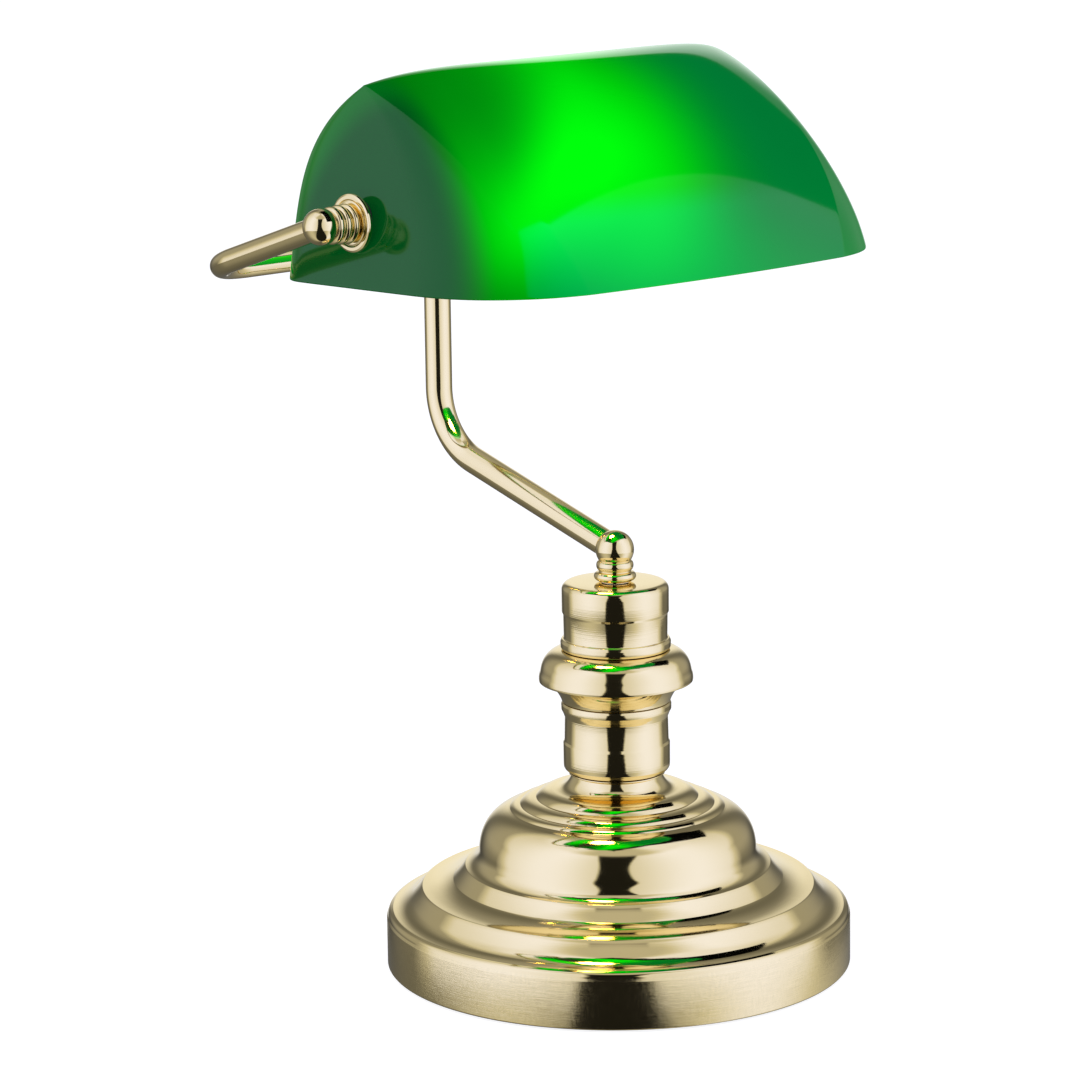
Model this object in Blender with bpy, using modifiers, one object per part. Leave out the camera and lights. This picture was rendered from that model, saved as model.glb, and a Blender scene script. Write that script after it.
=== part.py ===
"""Banker desk lamp: a spun brass base and column, a bent stem, a yoke and a tilting glass shade.

Metres, +Z up.  The origin is the centre of the base on the surface that the lamp stands on.
The lamp faces -Y, and the shade is long in X.
"""
import math

import bmesh
import bpy
from mathutils import Matrix, Vector

MM = 0.001
GAP = 0.0003

# Driving dimensions: base and column
BASE_RADIUS = 95.2 * MM
RIM_TOP = 21.5 * MM
GLAND_HEIGHT = 12.4 * MM
SHEET = 1.2 * MM
FELT = 1.6 * MM
PLATE_BOTTOM = FELT + GAP
PLATE_THICKNESS = 3.0 * MM
NECK_TOP = 79.4 * MM
CUP_RADIUS = 21.8 * MM
LOWER_CUP = (80.6 * MM, 109.8 * MM)
SKIRT_RADIUS = 31.4 * MM
SKIRT_EDGE = 118.4 * MM
UPPER_CUP = (131.9 * MM, 159.3 * MM)
ROD_RADIUS = 5.0 * MM
ROD_BORE = 3.3 * MM
ROD_CLEARANCE = ROD_RADIUS + GAP

# Driving dimensions: stem and yoke
STEM_RADIUS = 5.6 * MM
STEM_BORE = 4.5 * MM
STEM_FOOT = 172.6 * MM
STEM_RISE = math.radians(16.4)
STEM_BEND = 30.0 * MM
STEM_BACK = 107.2 * MM
STEM_BALL = 7.85 * MM
YOKE_RADIUS = 4.7 * MM
YOKE_BORE = 3.7 * MM
YOKE_BEND = 25.0 * MM
YOKE_HEIGHT = 288.2 * MM
ARM_OUT = 125.5 * MM
TEE_BALL = 8.6 * MM
PIVOT_BALL = 7.2 * MM
PIVOT = Vector((0.0, 28.4 * MM, 313.6 * MM))
REST_TILT = math.radians(-1.3)

# Driving dimensions: shade, in its own level frame
RIM = 288.0 * MM
GLASS = 3.5 * MM
HALF_LENGTH = 111.6 * MM
END_LEAN = 0.2
CREST = 83.3 * MM
CREST_ENDS = 77.3 * MM
CREST_DROP_POWER = 5.4
CREST_Y = 12.0 * MM
CREST_ENDS_Y = 35.3 * MM
FRONT_REACH = 77.0 * MM
FRONT_CORNER_REACH = 90.9 * MM
BACK_REACH = 65.5 * MM
BACK_CORNER_REACH = 41.4 * MM
FRONT_FALL = (1.4, 0.5)
FRONT_CORNER_FALL = (1.3, 0.833)
BACK_FALL = (6.0, 0.5)
BACK_CORNER_FALL = (3.5, 1.0)
FRONT_CORNER_RADII = (40.0 * MM, 2.0 * MM)
BACK_CORNER_RADII = (14.0 * MM, 1.0 * MM)

# Driving dimensions: pivot hardware, as distances from the middle of the lamp along X
NECK_END = 111.5 * MM
FLANGE = (109.4 * MM, 111.2 * MM)
FLANGE_RADIUS = 11.5 * MM
WASHER_RADIUS = 8.5 * MM
INNER_FACE = 100.0 * MM
STEEL_WASHER = (98.5 * MM, 99.7 * MM)
NUT = (94.2 * MM, 98.2 * MM)
NIPPLE_OUTER = 120.5 * MM
NIPPLE_INNER = {-1: 85.0 * MM, 1: 92.0 * MM}

# Driving dimensions: lampholder and bulb, as X positions on the pivot axis
HOLDER_BACK = -93.9 * MM
HOLDER_JOINT = -78.0 * MM
HOLDER_MOUTH = -47.0 * MM
HOLDER_RADIUS = 19.5 * MM
BULB_CAP_BACK = -71.0 * MM
BULB_NECK = -45.5 * MM
GLOBE_CENTRE = -14.0 * MM
GLOBE_RADIUS = 22.5 * MM

LEAD_RADIUS = 1.8 * MM

MATERIALS = {
    "polished_brass": ((0.83, 0.69, 0.42), 0.12, 1.0),
    "brushed_brass": ((0.78, 0.66, 0.42), 0.32, 1.0),
    "green_glass": ((0.02, 0.30, 0.10), 0.08, 0.0),
    "zinc_steel": ((0.62, 0.62, 0.60), 0.35, 1.0),
    "cast_iron": ((0.09, 0.09, 0.09), 0.75, 0.6),
    "black_rubber": ((0.02, 0.02, 0.02), 0.80, 0.0),
    "black_felt": ((0.03, 0.03, 0.03), 0.95, 0.0),
    "fibreboard": ((0.20, 0.13, 0.08), 0.85, 0.0),
    "black_plastic": ((0.03, 0.03, 0.03), 0.40, 0.0),
    "white_ceramic": ((0.85, 0.84, 0.80), 0.30, 0.0),
    "white_plastic": ((0.85, 0.85, 0.82), 0.45, 0.0),
    "frosted_glass": ((0.95, 0.93, 0.88), 0.45, 0.0),
    "clear_glass": ((0.90, 0.92, 0.92), 0.05, 0.0),
    "tungsten": ((0.35, 0.33, 0.30), 0.40, 1.0),
    "lead_sheath": ((0.80, 0.80, 0.78), 0.55, 0.0),
}


def clear_scene():
    for old in list(bpy.data.objects):
        bpy.data.objects.remove(old, do_unlink=True)


def make_collection(name):
    collection = bpy.data.collections.new(name)
    bpy.context.scene.collection.children.link(collection)
    return collection


clear_scene()
LAMP = make_collection("banker_desk_lamp")
CUTTERS = make_collection("cutters")


def material(name):
    found = bpy.data.materials.get(name)
    if found:
        return found
    colour, roughness, metallic = MATERIALS[name]
    made = bpy.data.materials.new(name)
    made.use_nodes = True
    shader = made.node_tree.nodes["Principled BSDF"]
    shader.inputs["Base Color"].default_value = (*colour, 1.0)
    shader.inputs["Roughness"].default_value = roughness
    shader.inputs["Metallic"].default_value = metallic
    return made


def add_object(name, mesh, finish, parent=None):
    made = bpy.data.objects.new(name, mesh)
    LAMP.objects.link(made)
    made.data.materials.append(material(finish))
    made.parent = parent
    return made


def from_primitive(name, finish, shift=(0.0, 0.0, 0.0), size=(1.0, 1.0, 1.0)):
    """Keep the mesh of the primitive just added, sized and shifted, as a named piece."""
    body = bpy.context.object
    mesh = body.data
    bpy.data.objects.remove(body)
    mesh.name = name
    mesh.transform(Matrix.Diagonal((*size, 1.0)))
    mesh.transform(Matrix.Translation(shift))
    return add_object(name, mesh, finish)


def add_empty(name, location, rotation=(0.0, 0.0, 0.0)):
    empty = bpy.data.objects.new(name, None)
    empty.location = location
    empty.rotation_euler = rotation
    LAMP.objects.link(empty)
    return empty


def smooth(made, angle=35.0):
    made.data.shade_smooth()
    made.data.set_sharp_from_angle(angle=math.radians(angle))


# Profiles are lists of (radius, height) that run down the outer side, top to bottom


def arc(centre, radius, start, end, count):
    """Points on an arc from start to end degrees, measured from +radius towards +height."""
    points = []
    for index in range(count + 1):
        turn = math.radians(start + (end - start) * index / count)
        points.append((centre[0] + radius * math.cos(turn), centre[1] + radius * math.sin(turn)))
    return points


def bulge(start, end, height, count):
    """Points from start to end on an arc that stands out by height; a negative height is hollow."""
    across = Vector((end[0] - start[0], end[1] - start[1]))
    outward = Vector((-across.y, across.x)).normalized()
    points = []
    for index in range(count + 1):
        along = index / count
        rise = 4.0 * height * along * (1.0 - along)
        place = Vector(start) + across * along + outward * rise
        points.append((place.x, place.y))
    return points


def joined(*runs):
    """One profile from several runs, without repeating the point where two runs meet."""
    profile = []
    for run in runs:
        for point in run:
            if profile and math.dist(point, profile[-1]) < 1e-6:
                continue
            profile.append(point)
    return profile


def turned(name, profile, finish, steps=32, closed=True, parent=None):
    """Turn a profile about Z; closed joins its last point to its first, as for a ring."""
    mesh = bpy.data.meshes.new(name)
    vertices = [(radius, 0.0, height) for radius, height in profile]
    edges = [(index, index + 1) for index in range(len(profile) - 1)]
    if closed:
        edges.append((len(profile) - 1, 0))
    mesh.from_pydata(vertices, edges, [])
    made = add_object(name, mesh, finish, parent)
    screw = made.modifiers.new("turn", "SCREW")
    screw.angle = math.tau
    screw.steps = steps
    screw.render_steps = steps
    screw.use_merge_vertices = True
    screw.merge_threshold = 0.00001
    screw.use_smooth_shade = True
    return made


def along_x(made, x, side=1):
    """Lay a piece turned about Z on the pivot axis, its +Z pointing along side * X."""
    made.rotation_euler = (0.0, side * math.pi / 2.0, 0.0)
    made.location = (x, PIVOT.y, PIVOT.z)
    return made


def cylinder_cutter(name, start, end, radius, sides=16):
    start = Vector(start)
    end = Vector(end)
    bpy.ops.mesh.primitive_cylinder_add(vertices=sides, radius=radius, depth=(end - start).length)
    cutter = bpy.context.object
    cutter.name = name
    cutter.location = (start + end) / 2.0
    cutter.rotation_euler = (end - start).to_track_quat("Z", "Y").to_euler()
    return keep_as_cutter(cutter)


def box_cutter(name, centre, size, rotation=(0.0, 0.0, 0.0)):
    bpy.ops.mesh.primitive_cube_add(size=1.0)
    cutter = bpy.context.object
    cutter.name = name
    cutter.data.transform(Matrix.Diagonal((*size, 1.0)))
    cutter.location = centre
    cutter.rotation_euler = rotation
    return keep_as_cutter(cutter)


def keep_as_cutter(cutter):
    for collection in list(cutter.users_collection):
        collection.objects.unlink(cutter)
    CUTTERS.objects.link(cutter)
    cutter.hide_render = True
    cutter.display_type = "WIRE"
    return cutter


def cut(made, cutter):
    boolean = made.modifiers.new("cut", "BOOLEAN")
    boolean.operation = "DIFFERENCE"
    boolean.object = cutter
    return made


def ring(name, inner, outer, bottom, top, finish, steps=16, chamfer=0.3 * MM, parent=None):
    profile = [
        (inner, top),
        (outer - chamfer, top),
        (outer, top - chamfer),
        (outer, bottom + chamfer),
        (outer - chamfer, bottom),
        (inner, bottom),
    ]
    return turned(name, profile, finish, steps, parent=parent)


def hex_nut(name, across_flats, bore, bottom, top, finish):
    """A six-sided nut with its edges chamfered; its hole is cut by a child cutter."""
    bpy.ops.mesh.primitive_cylinder_add(
        vertices=6, radius=across_flats / math.sqrt(3.0), depth=top - bottom)
    made = from_primitive(name, finish, (0.0, 0.0, (top + bottom) / 2.0))
    bevel = made.modifiers.new("edges", "BEVEL")
    bevel.width = 0.4 * MM
    bevel.segments = 1
    hole = cylinder_cutter(
        name + "_hole", (0.0, 0.0, bottom - MM), (0.0, 0.0, top + MM), bore)
    hole.parent = made
    cut(made, hole)
    return made


def bent_path(points, bends, per_bend=8):
    """The corner points of a route with each inner corner rounded to its own bend radius."""
    path = [points[0]]
    for before, corner, after, bend in zip(points, points[1:], points[2:], bends):
        arrive = (corner - before).normalized()
        leave = (after - corner).normalized()
        turn = arrive.angle(leave)
        back = bend * math.tan(turn / 2.0)
        start = corner - arrive * back
        inward = (leave - arrive * arrive.dot(leave)).normalized()
        centre = start + inward * bend
        for index in range(per_bend + 1):
            angle = turn * index / per_bend
            path.append(centre - inward * bend * math.cos(angle) + arrive * bend * math.sin(angle))
    path.append(points[-1])
    return path


def curve_rod(name, path, radius, finish, resolution=2):
    """A solid round rod along a path, as a mesh whose end caps are welded on."""
    curve = bpy.data.curves.new(name, "CURVE")
    curve.dimensions = "3D"
    curve.bevel_depth = radius
    curve.bevel_resolution = resolution
    curve.use_fill_caps = True
    spline = curve.splines.new("POLY")
    spline.points.add(len(path) - 1)
    for point, place in zip(spline.points, path):
        point.co = (*place, 1.0)
    guide = bpy.data.objects.new(name + "_curve", curve)
    LAMP.objects.link(guide)
    bpy.context.view_layer.update()
    mesh = bpy.data.meshes.new_from_object(guide.evaluated_get(bpy.context.evaluated_depsgraph_get()))
    place = guide.matrix_world.copy()
    bpy.data.objects.remove(guide)
    bpy.data.curves.remove(curve)
    shape = bmesh.new()
    shape.from_mesh(mesh)
    bmesh.ops.remove_doubles(shape, verts=shape.verts, dist=0.00001)
    bmesh.ops.recalc_face_normals(shape, faces=shape.faces)
    shape.to_mesh(mesh)
    shape.free()
    mesh.materials.clear()
    made = add_object(name, mesh, finish)
    made.matrix_world = place
    return made


def tube(name, path, radius, bore, finish, resolution=2):
    """A hollow tube: a rod with a thinner rod cut out of it from end to end."""
    made = curve_rod(name, path, radius, finish, resolution)
    first = path[0] + (path[0] - path[1]).normalized() * MM
    last = path[-1] + (path[-1] - path[-2]).normalized() * MM
    core = curve_rod(name + "_bore", [first] + path[1:-1] + [last], bore, finish, resolution)
    cut(made, keep_as_cutter(core))
    return made


# Base


def in_metres(*points):
    return [(radius * MM, height * MM) for radius, height in points]


def dome_profile():
    """Outer side of the base: neck, beads, dome, two hollow steps and the rolled rim."""
    neck = [(ROD_CLEARANCE, NECK_TOP), (18.4 * MM, NECK_TOP)]
    flare = bulge((18.6 * MM, 78.9 * MM), (26.0 * MM, 73.4 * MM), -1.6 * MM, 3)
    beads = joined(
        bulge((26.0 * MM, 73.4 * MM), (33.2 * MM, 69.8 * MM), 0.9 * MM, 2),
        bulge((33.2 * MM, 69.8 * MM), (39.8 * MM, 67.0 * MM), 0.8 * MM, 2),
        bulge((39.8 * MM, 67.0 * MM), (44.0 * MM, 65.4 * MM), 0.5 * MM, 1),
    )
    dome = bulge((44.0 * MM, 65.4 * MM), (56.8 * MM, 49.4 * MM), 3.4 * MM, 4)
    foot = bulge((56.8 * MM, 49.4 * MM), (62.6 * MM, 41.7 * MM), -1.9 * MM, 3)
    first_step = joined(
        in_metres((62.9, 41.4)),
        bulge((67.6 * MM, 35.9 * MM), (80.3 * MM, 33.0 * MM), -0.7 * MM, 3),
    )
    second_step = joined(
        in_metres((80.8, 32.6)),
        bulge((85.2 * MM, 27.4 * MM), (92.6 * MM, 24.2 * MM), -0.6 * MM, 3),
    )
    rim_roll = bulge((92.9 * MM, 24.0 * MM), (94.7 * MM, RIM_TOP), 0.5 * MM, 2)
    rim = [(BASE_RADIUS, 1.2 * MM), (BASE_RADIUS - 0.6 * MM, 0.5 * MM)]
    return joined(neck, flare, beads, dome, foot, first_step, second_step, rim_roll, rim)


def shell_inside():
    """Inner side of the base's sheet, from the foot of the rim up to the rod's hole."""
    return in_metres(
        (93.4, 0.5), (93.2, 20.2), (91.9, 22.5), (88.2, 23.9), (84.3, 26.4), (79.9, 31.7),
        (73.5, 32.4), (66.9, 34.8), (62.0, 40.3), (57.2, 43.6), (55.4, 49.0), (51.5, 57.0),
        (45.0, 63.2), (26.0, 71.4), (21.0, 72.6), (17.4, 76.0), (17.0, 78.2))


def base_shell():
    inside = shell_inside() + [(ROD_CLEARANCE, NECK_TOP - SHEET)]
    made = turned("base_shell", dome_profile() + inside, "polished_brass", steps=36)
    gland_hole = cylinder_cutter(
        "gland_hole", (0.0, 86.0 * MM, GLAND_HEIGHT), (0.0, 102.0 * MM, GLAND_HEIGHT),
        5.0 * MM, 16)
    return cut(made, gland_hole)


def base_weight():
    """Cast disc that fills the dome, with three bosses for the bottom plate's screws."""
    profile = [
        (ROD_CLEARANCE, 47.5 * MM),
        (53.0 * MM, 47.5 * MM),
        (55.4 * MM, 43.0 * MM),
        (59.0 * MM, 40.5 * MM),
        (59.0 * MM, 18.0 * MM),
        (ROD_CLEARANCE, 18.0 * MM),
    ]
    made = turned("base_weight", profile, "cast_iron", steps=32)
    for index, place in enumerate(plate_screw_places()):
        bpy.ops.mesh.primitive_cylinder_add(vertices=16, radius=5.0 * MM, depth=16.0 * MM)
        boss = keep_as_cutter(bpy.context.object)
        boss.name = f"boss_{index + 1}"
        boss.location = (place.x, place.y, PLATE_BOTTOM + PLATE_THICKNESS + GAP + 8.0 * MM)
        join = made.modifiers.new("boss", "BOOLEAN")
        join.operation = "UNION"
        join.object = boss
    for index, place in enumerate(plate_screw_places()):
        cut(made, cylinder_cutter(
            f"boss_hole_{index + 1}", (place.x, place.y, 4.0 * MM),
            (place.x, place.y, 14.0 * MM), 1.8 * MM + GAP, 12))
    return made


def plate_screw_places():
    places = []
    for index in range(3):
        turn = math.radians(-90.0 + 120.0 * index)
        places.append(Vector((48.0 * MM * math.cos(turn), 48.0 * MM * math.sin(turn), 0.0)))
    return places


def bottom_plate():
    top = PLATE_BOTTOM + PLATE_THICKNESS
    bpy.ops.mesh.primitive_cylinder_add(vertices=36, radius=92.6 * MM, depth=PLATE_THICKNESS)
    made = from_primitive(
        "bottom_plate", "fibreboard", (0.0, 0.0, PLATE_BOTTOM + PLATE_THICKNESS / 2.0))
    for index, place in enumerate(plate_screw_places()):
        cut(made, cylinder_cutter(
            f"plate_hole_{index + 1}", (place.x, place.y, 1.0 * MM),
            (place.x, place.y, top + MM), 1.8 * MM + GAP, 12))
        cut(made, cylinder_cutter(
            f"plate_counterbore_{index + 1}", (place.x, place.y, 1.0 * MM),
            (place.x, place.y, PLATE_BOTTOM + 1.7 * MM), 3.6 * MM + GAP, 16))
    return made


def plate_screws():
    head_bottom = PLATE_BOTTOM + 0.2 * MM
    head_top = PLATE_BOTTOM + 1.4 * MM
    for index, place in enumerate(plate_screw_places()):
        profile = [
            (0.0, 12.5 * MM),
            (1.2 * MM, 12.5 * MM),
            (1.8 * MM, 11.5 * MM),
            (1.8 * MM, head_top),
            (3.6 * MM, head_top),
            (3.2 * MM, head_bottom),
            (0.0, head_bottom),
        ]
        made = turned(f"plate_screw_{index + 1}", profile, "zinc_steel", 12, closed=False)
        made.location = place


def felt_pad():
    bpy.ops.mesh.primitive_cylinder_add(vertices=36, radius=92.4 * MM, depth=FELT)
    return from_primitive("felt_pad", "black_felt", (0.0, 0.0, FELT / 2.0))


def cable_gland():
    """Rubber grommet that grips the rear wall of the rim; its bore is the way in for a cord."""
    profile = [
        (3.3 * MM, 2.8 * MM),
        (5.2 * MM, 2.8 * MM),
        (6.6 * MM, 1.8 * MM),
        (7.2 * MM, 0.3 * MM),
        (4.7 * MM, 0.3 * MM),
        (4.7 * MM, -2.5 * MM),
        (6.4 * MM, -2.5 * MM),
        (5.4 * MM, -4.6 * MM),
        (3.3 * MM, -4.6 * MM),
    ]
    made = turned("cable_gland", profile, "black_rubber", 16)
    made.rotation_euler = (-math.pi / 2.0, 0.0, 0.0)
    made.location = (0.0, BASE_RADIUS - 0.1 * MM, GLAND_HEIGHT)
    return made


def terminal_block():
    """Three-pole block on the bottom plate, with its three clamp screws."""
    bpy.ops.mesh.primitive_cube_add(size=1.0)
    made = from_primitive(
        "terminal_block", "white_plastic", size=(30.0 * MM, 15.0 * MM, 11.0 * MM))
    base = PLATE_BOTTOM + PLATE_THICKNESS + GAP
    made.location = (0.0, 74.0 * MM, base + 5.5 * MM)
    bevel = made.modifiers.new("edges", "BEVEL")
    bevel.width = 1.0 * MM
    bevel.segments = 2
    for index in range(3):
        x = (index - 1) * 9.5 * MM
        top = base + 11.0 * MM
        cut(made, cylinder_cutter(
            f"terminal_well_{index + 1}", (x, 74.0 * MM, top - 6.0 * MM),
            (x, 74.0 * MM, top + MM), 2.2 * MM, 12))
        profile = [
            (0.0, top - 1.5 * MM),
            (1.8 * MM, top - 1.5 * MM),
            (1.8 * MM, top - 3.5 * MM),
            (1.3 * MM, top - 3.8 * MM),
            (1.3 * MM, top - 5.6 * MM),
            (0.0, top - 5.6 * MM),
        ]
        screw = turned(f"terminal_screw_{index + 1}", profile, "polished_brass", 12, closed=False)
        screw.location = (x, 74.0 * MM, 0.0)
    return made


# Column


def threaded_rod():
    return ring(
        "threaded_rod", ROD_BORE, ROD_RADIUS, 12.5 * MM, 167.6 * MM, "zinc_steel", 16, 0.6 * MM)


def rod_fasteners():
    ring("rod_washer", ROD_CLEARANCE, 11.0 * MM, 16.3 * MM, 17.7 * MM, "zinc_steel", 20)
    hex_nut("rod_nut", 14.0 * MM, ROD_CLEARANCE, 12.8 * MM, 16.0 * MM, "zinc_steel")


def neck_ring():
    return ring(
        "neck_ring", ROD_CLEARANCE, 19.7 * MM, NECK_TOP + GAP, LOWER_CUP[0] - GAP,
        "polished_brass", 28, 0.2 * MM)


def cup_outer(closed_end, open_end):
    """Outer side of a spun cup, from its flat end to the rolled bead at its open end."""
    away = 1.0 if open_end > closed_end else -1.0

    def height(distance):
        return closed_end + away * distance * MM

    edge = CUP_RADIUS - 3.0 * MM
    points = [(ROD_CLEARANCE, closed_end), (edge, closed_end)]
    for turn in (45.0, 90.0):
        angle = math.radians(turn)
        points.append((
            edge + 3.0 * MM * math.sin(angle),
            height(3.0 * (1.0 - math.cos(angle)))))
    points.append((CUP_RADIUS, height(12.0)))
    points.append((CUP_RADIUS - 0.5 * MM, height(13.0)))
    points.append((CUP_RADIUS - 0.7 * MM, height(23.0)))
    bead = abs(open_end - closed_end) / MM
    points.append((CUP_RADIUS + 0.1 * MM, height(bead - 4.2)))
    points.append((CUP_RADIUS + 0.7 * MM, height(bead - 3.0)))
    points.append((CUP_RADIUS + 0.7 * MM, height(bead - 1.0)))
    points.append((CUP_RADIUS + 0.3 * MM, open_end))
    return points


def cup(name, closed_end, open_end):
    """A drawn cup 1.2 mm thick, open at its beaded end and with a hole for the rod in its flat end."""
    away = 1.0 if open_end > closed_end else -1.0
    outer = cup_outer(closed_end, open_end)
    wall = CUP_RADIUS - 2.2 * MM
    inner = [
        (wall, open_end),
        (wall, closed_end + away * 2.6 * MM),
        (wall - 1.8 * MM, closed_end + away * SHEET),
        (ROD_CLEARANCE, closed_end + away * SHEET),
    ]
    profile = outer + inner
    if away > 0.0:
        profile.reverse()
    return turned(name, profile, "polished_brass", 28)


def skirt():
    """The wide bell over the column's waist, with a sharp lower edge, on its own flared cup."""
    top = UPPER_CUP[0] - GAP
    outer = joined(
        [(ROD_CLEARANCE, top), (22.6 * MM, top)],
        bulge((22.6 * MM, top), (SKIRT_RADIUS - 0.6 * MM, 122.6 * MM), 2.2 * MM, 4),
        bulge((SKIRT_RADIUS - 0.6 * MM, 122.6 * MM), (SKIRT_RADIUS, SKIRT_EDGE), 0.3 * MM, 1),
    )
    inner = [
        (SKIRT_RADIUS - 1.2 * MM, SKIRT_EDGE),
        (SKIRT_RADIUS - 2.2 * MM, 122.8 * MM),
        (26.0 * MM, 128.4 * MM),
        (22.0 * MM, top - SHEET),
        (ROD_CLEARANCE, top - SHEET),
    ]
    turned("skirt_bell", outer + inner, "polished_brass", 32)
    bottom = LOWER_CUP[1] + GAP
    rim = 29.2 * MM
    outer = joined(
        [(rim, SKIRT_EDGE + 1.6 * MM)],
        bulge((rim, SKIRT_EDGE + 0.8 * MM), (22.4 * MM, bottom + 0.8 * MM), -0.8 * MM, 2),
        [(22.2 * MM, bottom), (ROD_CLEARANCE, bottom)],
    )
    inner = [
        (ROD_CLEARANCE, bottom + SHEET),
        (21.6 * MM, bottom + SHEET),
        (rim - 1.4 * MM, SKIRT_EDGE + 1.6 * MM),
    ]
    turned("waist_cup", outer + inner, "polished_brass", 28)


# Ball fittings


def fitting_profile(ball, waist, swells, neck_foot):
    """A ball on a ribbed neck; heights are from the ball's centre, and the neck points down."""
    meet = math.degrees(math.acos(waist / ball))
    profile = [(0.0, ball)] + arc((0.0, 0.0), ball, 72.0, -meet, 4)
    top = profile[-1][1]
    pitch = (top - neck_foot) / len(swells)
    for index, swell in enumerate(swells):
        start = top - pitch * index
        profile.append((swell - 0.3 * MM, start - 0.25 * pitch))
        profile.append((swell, start - 0.52 * pitch))
        profile.append((swell - 0.3 * MM, start - 0.80 * pitch))
        profile.append((waist, start - 1.00 * pitch))
    profile.append((ROD_CLEARANCE, neck_foot))
    profile.append((ROD_CLEARANCE, -4.6 * MM))
    profile.append((ROD_BORE, -4.6 * MM))
    profile.append((ROD_BORE, 0.6 * MM))
    profile.append((0.0, 0.6 * MM))
    return profile


def stem_elbow():
    neck_foot = UPPER_CUP[1] + GAP - STEM_FOOT
    profile = fitting_profile(STEM_BALL, 6.6 * MM, (7.6 * MM, 8.6 * MM), neck_foot)
    made = turned("stem_elbow", profile, "polished_brass", 16, closed=False)
    made.location = (0.0, 0.0, STEM_FOOT)
    reach = Vector((0.0, math.cos(STEM_RISE), math.sin(STEM_RISE)))
    foot = Vector((0.0, 0.0, STEM_FOOT))
    socket = cylinder_cutter(
        "stem_socket", foot + reach * 0.1 * MM, foot + reach * 12.0 * MM, STEM_RADIUS + GAP, 16)
    return cut(made, socket)


def pivot_elbow(side):
    name = {-1: "left", 1: "right"}[side]
    swells = (7.4 * MM, 7.7 * MM, 7.9 * MM)
    profile = fitting_profile(PIVOT_BALL, 6.3 * MM, swells, NECK_END - ARM_OUT)
    made = turned(f"pivot_elbow_{name}", profile, "polished_brass", 16, closed=False)
    along_x(made, side * ARM_OUT, side)
    reach = arm_direction()
    centre = Vector((side * ARM_OUT, PIVOT.y, PIVOT.z))
    socket = cylinder_cutter(
        f"arm_socket_{name}", centre + reach * 0.1 * MM, centre + reach * 12.0 * MM,
        YOKE_RADIUS + GAP, 16)
    return cut(made, socket)


def arm_direction():
    """Direction of the yoke's arms, from the pivots back and down to the crossbar."""
    return Vector((0.0, STEM_BACK - PIVOT.y, YOKE_HEIGHT - PIVOT.z)).normalized()


# Stem and yoke


def stem_tube():
    reach = Vector((0.0, math.cos(STEM_RISE), math.sin(STEM_RISE)))
    foot = Vector((0.0, 0.0, STEM_FOOT))
    corner = foot + reach * (STEM_BACK / math.cos(STEM_RISE))
    start = foot + reach * 2.6 * MM
    top = Vector((0.0, STEM_BACK, YOKE_HEIGHT - 3.4 * MM))
    path = bent_path([start, corner, top], [STEM_BEND], 8)
    return tube("stem_tube", path, STEM_RADIUS, STEM_BORE, "polished_brass")


def yoke_tee():
    """Ball joint that joins the stem to both halves of the yoke behind the shade."""
    centre = Vector((0.0, STEM_BACK, YOKE_HEIGHT))
    bpy.ops.mesh.primitive_uv_sphere_add(segments=16, ring_count=10, radius=TEE_BALL)
    made = from_primitive("yoke_tee", "polished_brass")
    made.location = centre
    cut(made, cylinder_cutter(
        "tee_stem_hole", centre - Vector((0.0, 0.0, 12.0 * MM)), centre, STEM_RADIUS + GAP, 16))
    across = Vector((12.0 * MM, 0.0, 0.0))
    return cut(made, cylinder_cutter(
        "tee_arm_hole", centre - across, centre + across, YOKE_RADIUS + GAP, 16))


def yoke_arm(side):
    name = {-1: "left", 1: "right"}[side]
    middle = Vector((side * 5.9 * MM, STEM_BACK, YOKE_HEIGHT))
    corner = Vector((side * ARM_OUT, STEM_BACK, YOKE_HEIGHT))
    centre = Vector((side * ARM_OUT, PIVOT.y, PIVOT.z))
    end = centre + arm_direction() * 2.4 * MM
    path = bent_path([middle, corner, end], [YOKE_BEND], 7)
    return tube(f"yoke_arm_{name}", path, YOKE_RADIUS, YOKE_BORE, "polished_brass")


# Shade


def end_face(height, wall):
    """Distance of a leaning end face from the middle of the lamp, at a height."""
    return HALF_LENGTH - wall - END_LEAN * (height - RIM)


def fall(level, powers):
    """How far out from the crest a skin is at a level: 1 at the rim and 0 at the crest."""
    return (1.0 - level ** powers[0]) ** powers[1]


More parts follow.
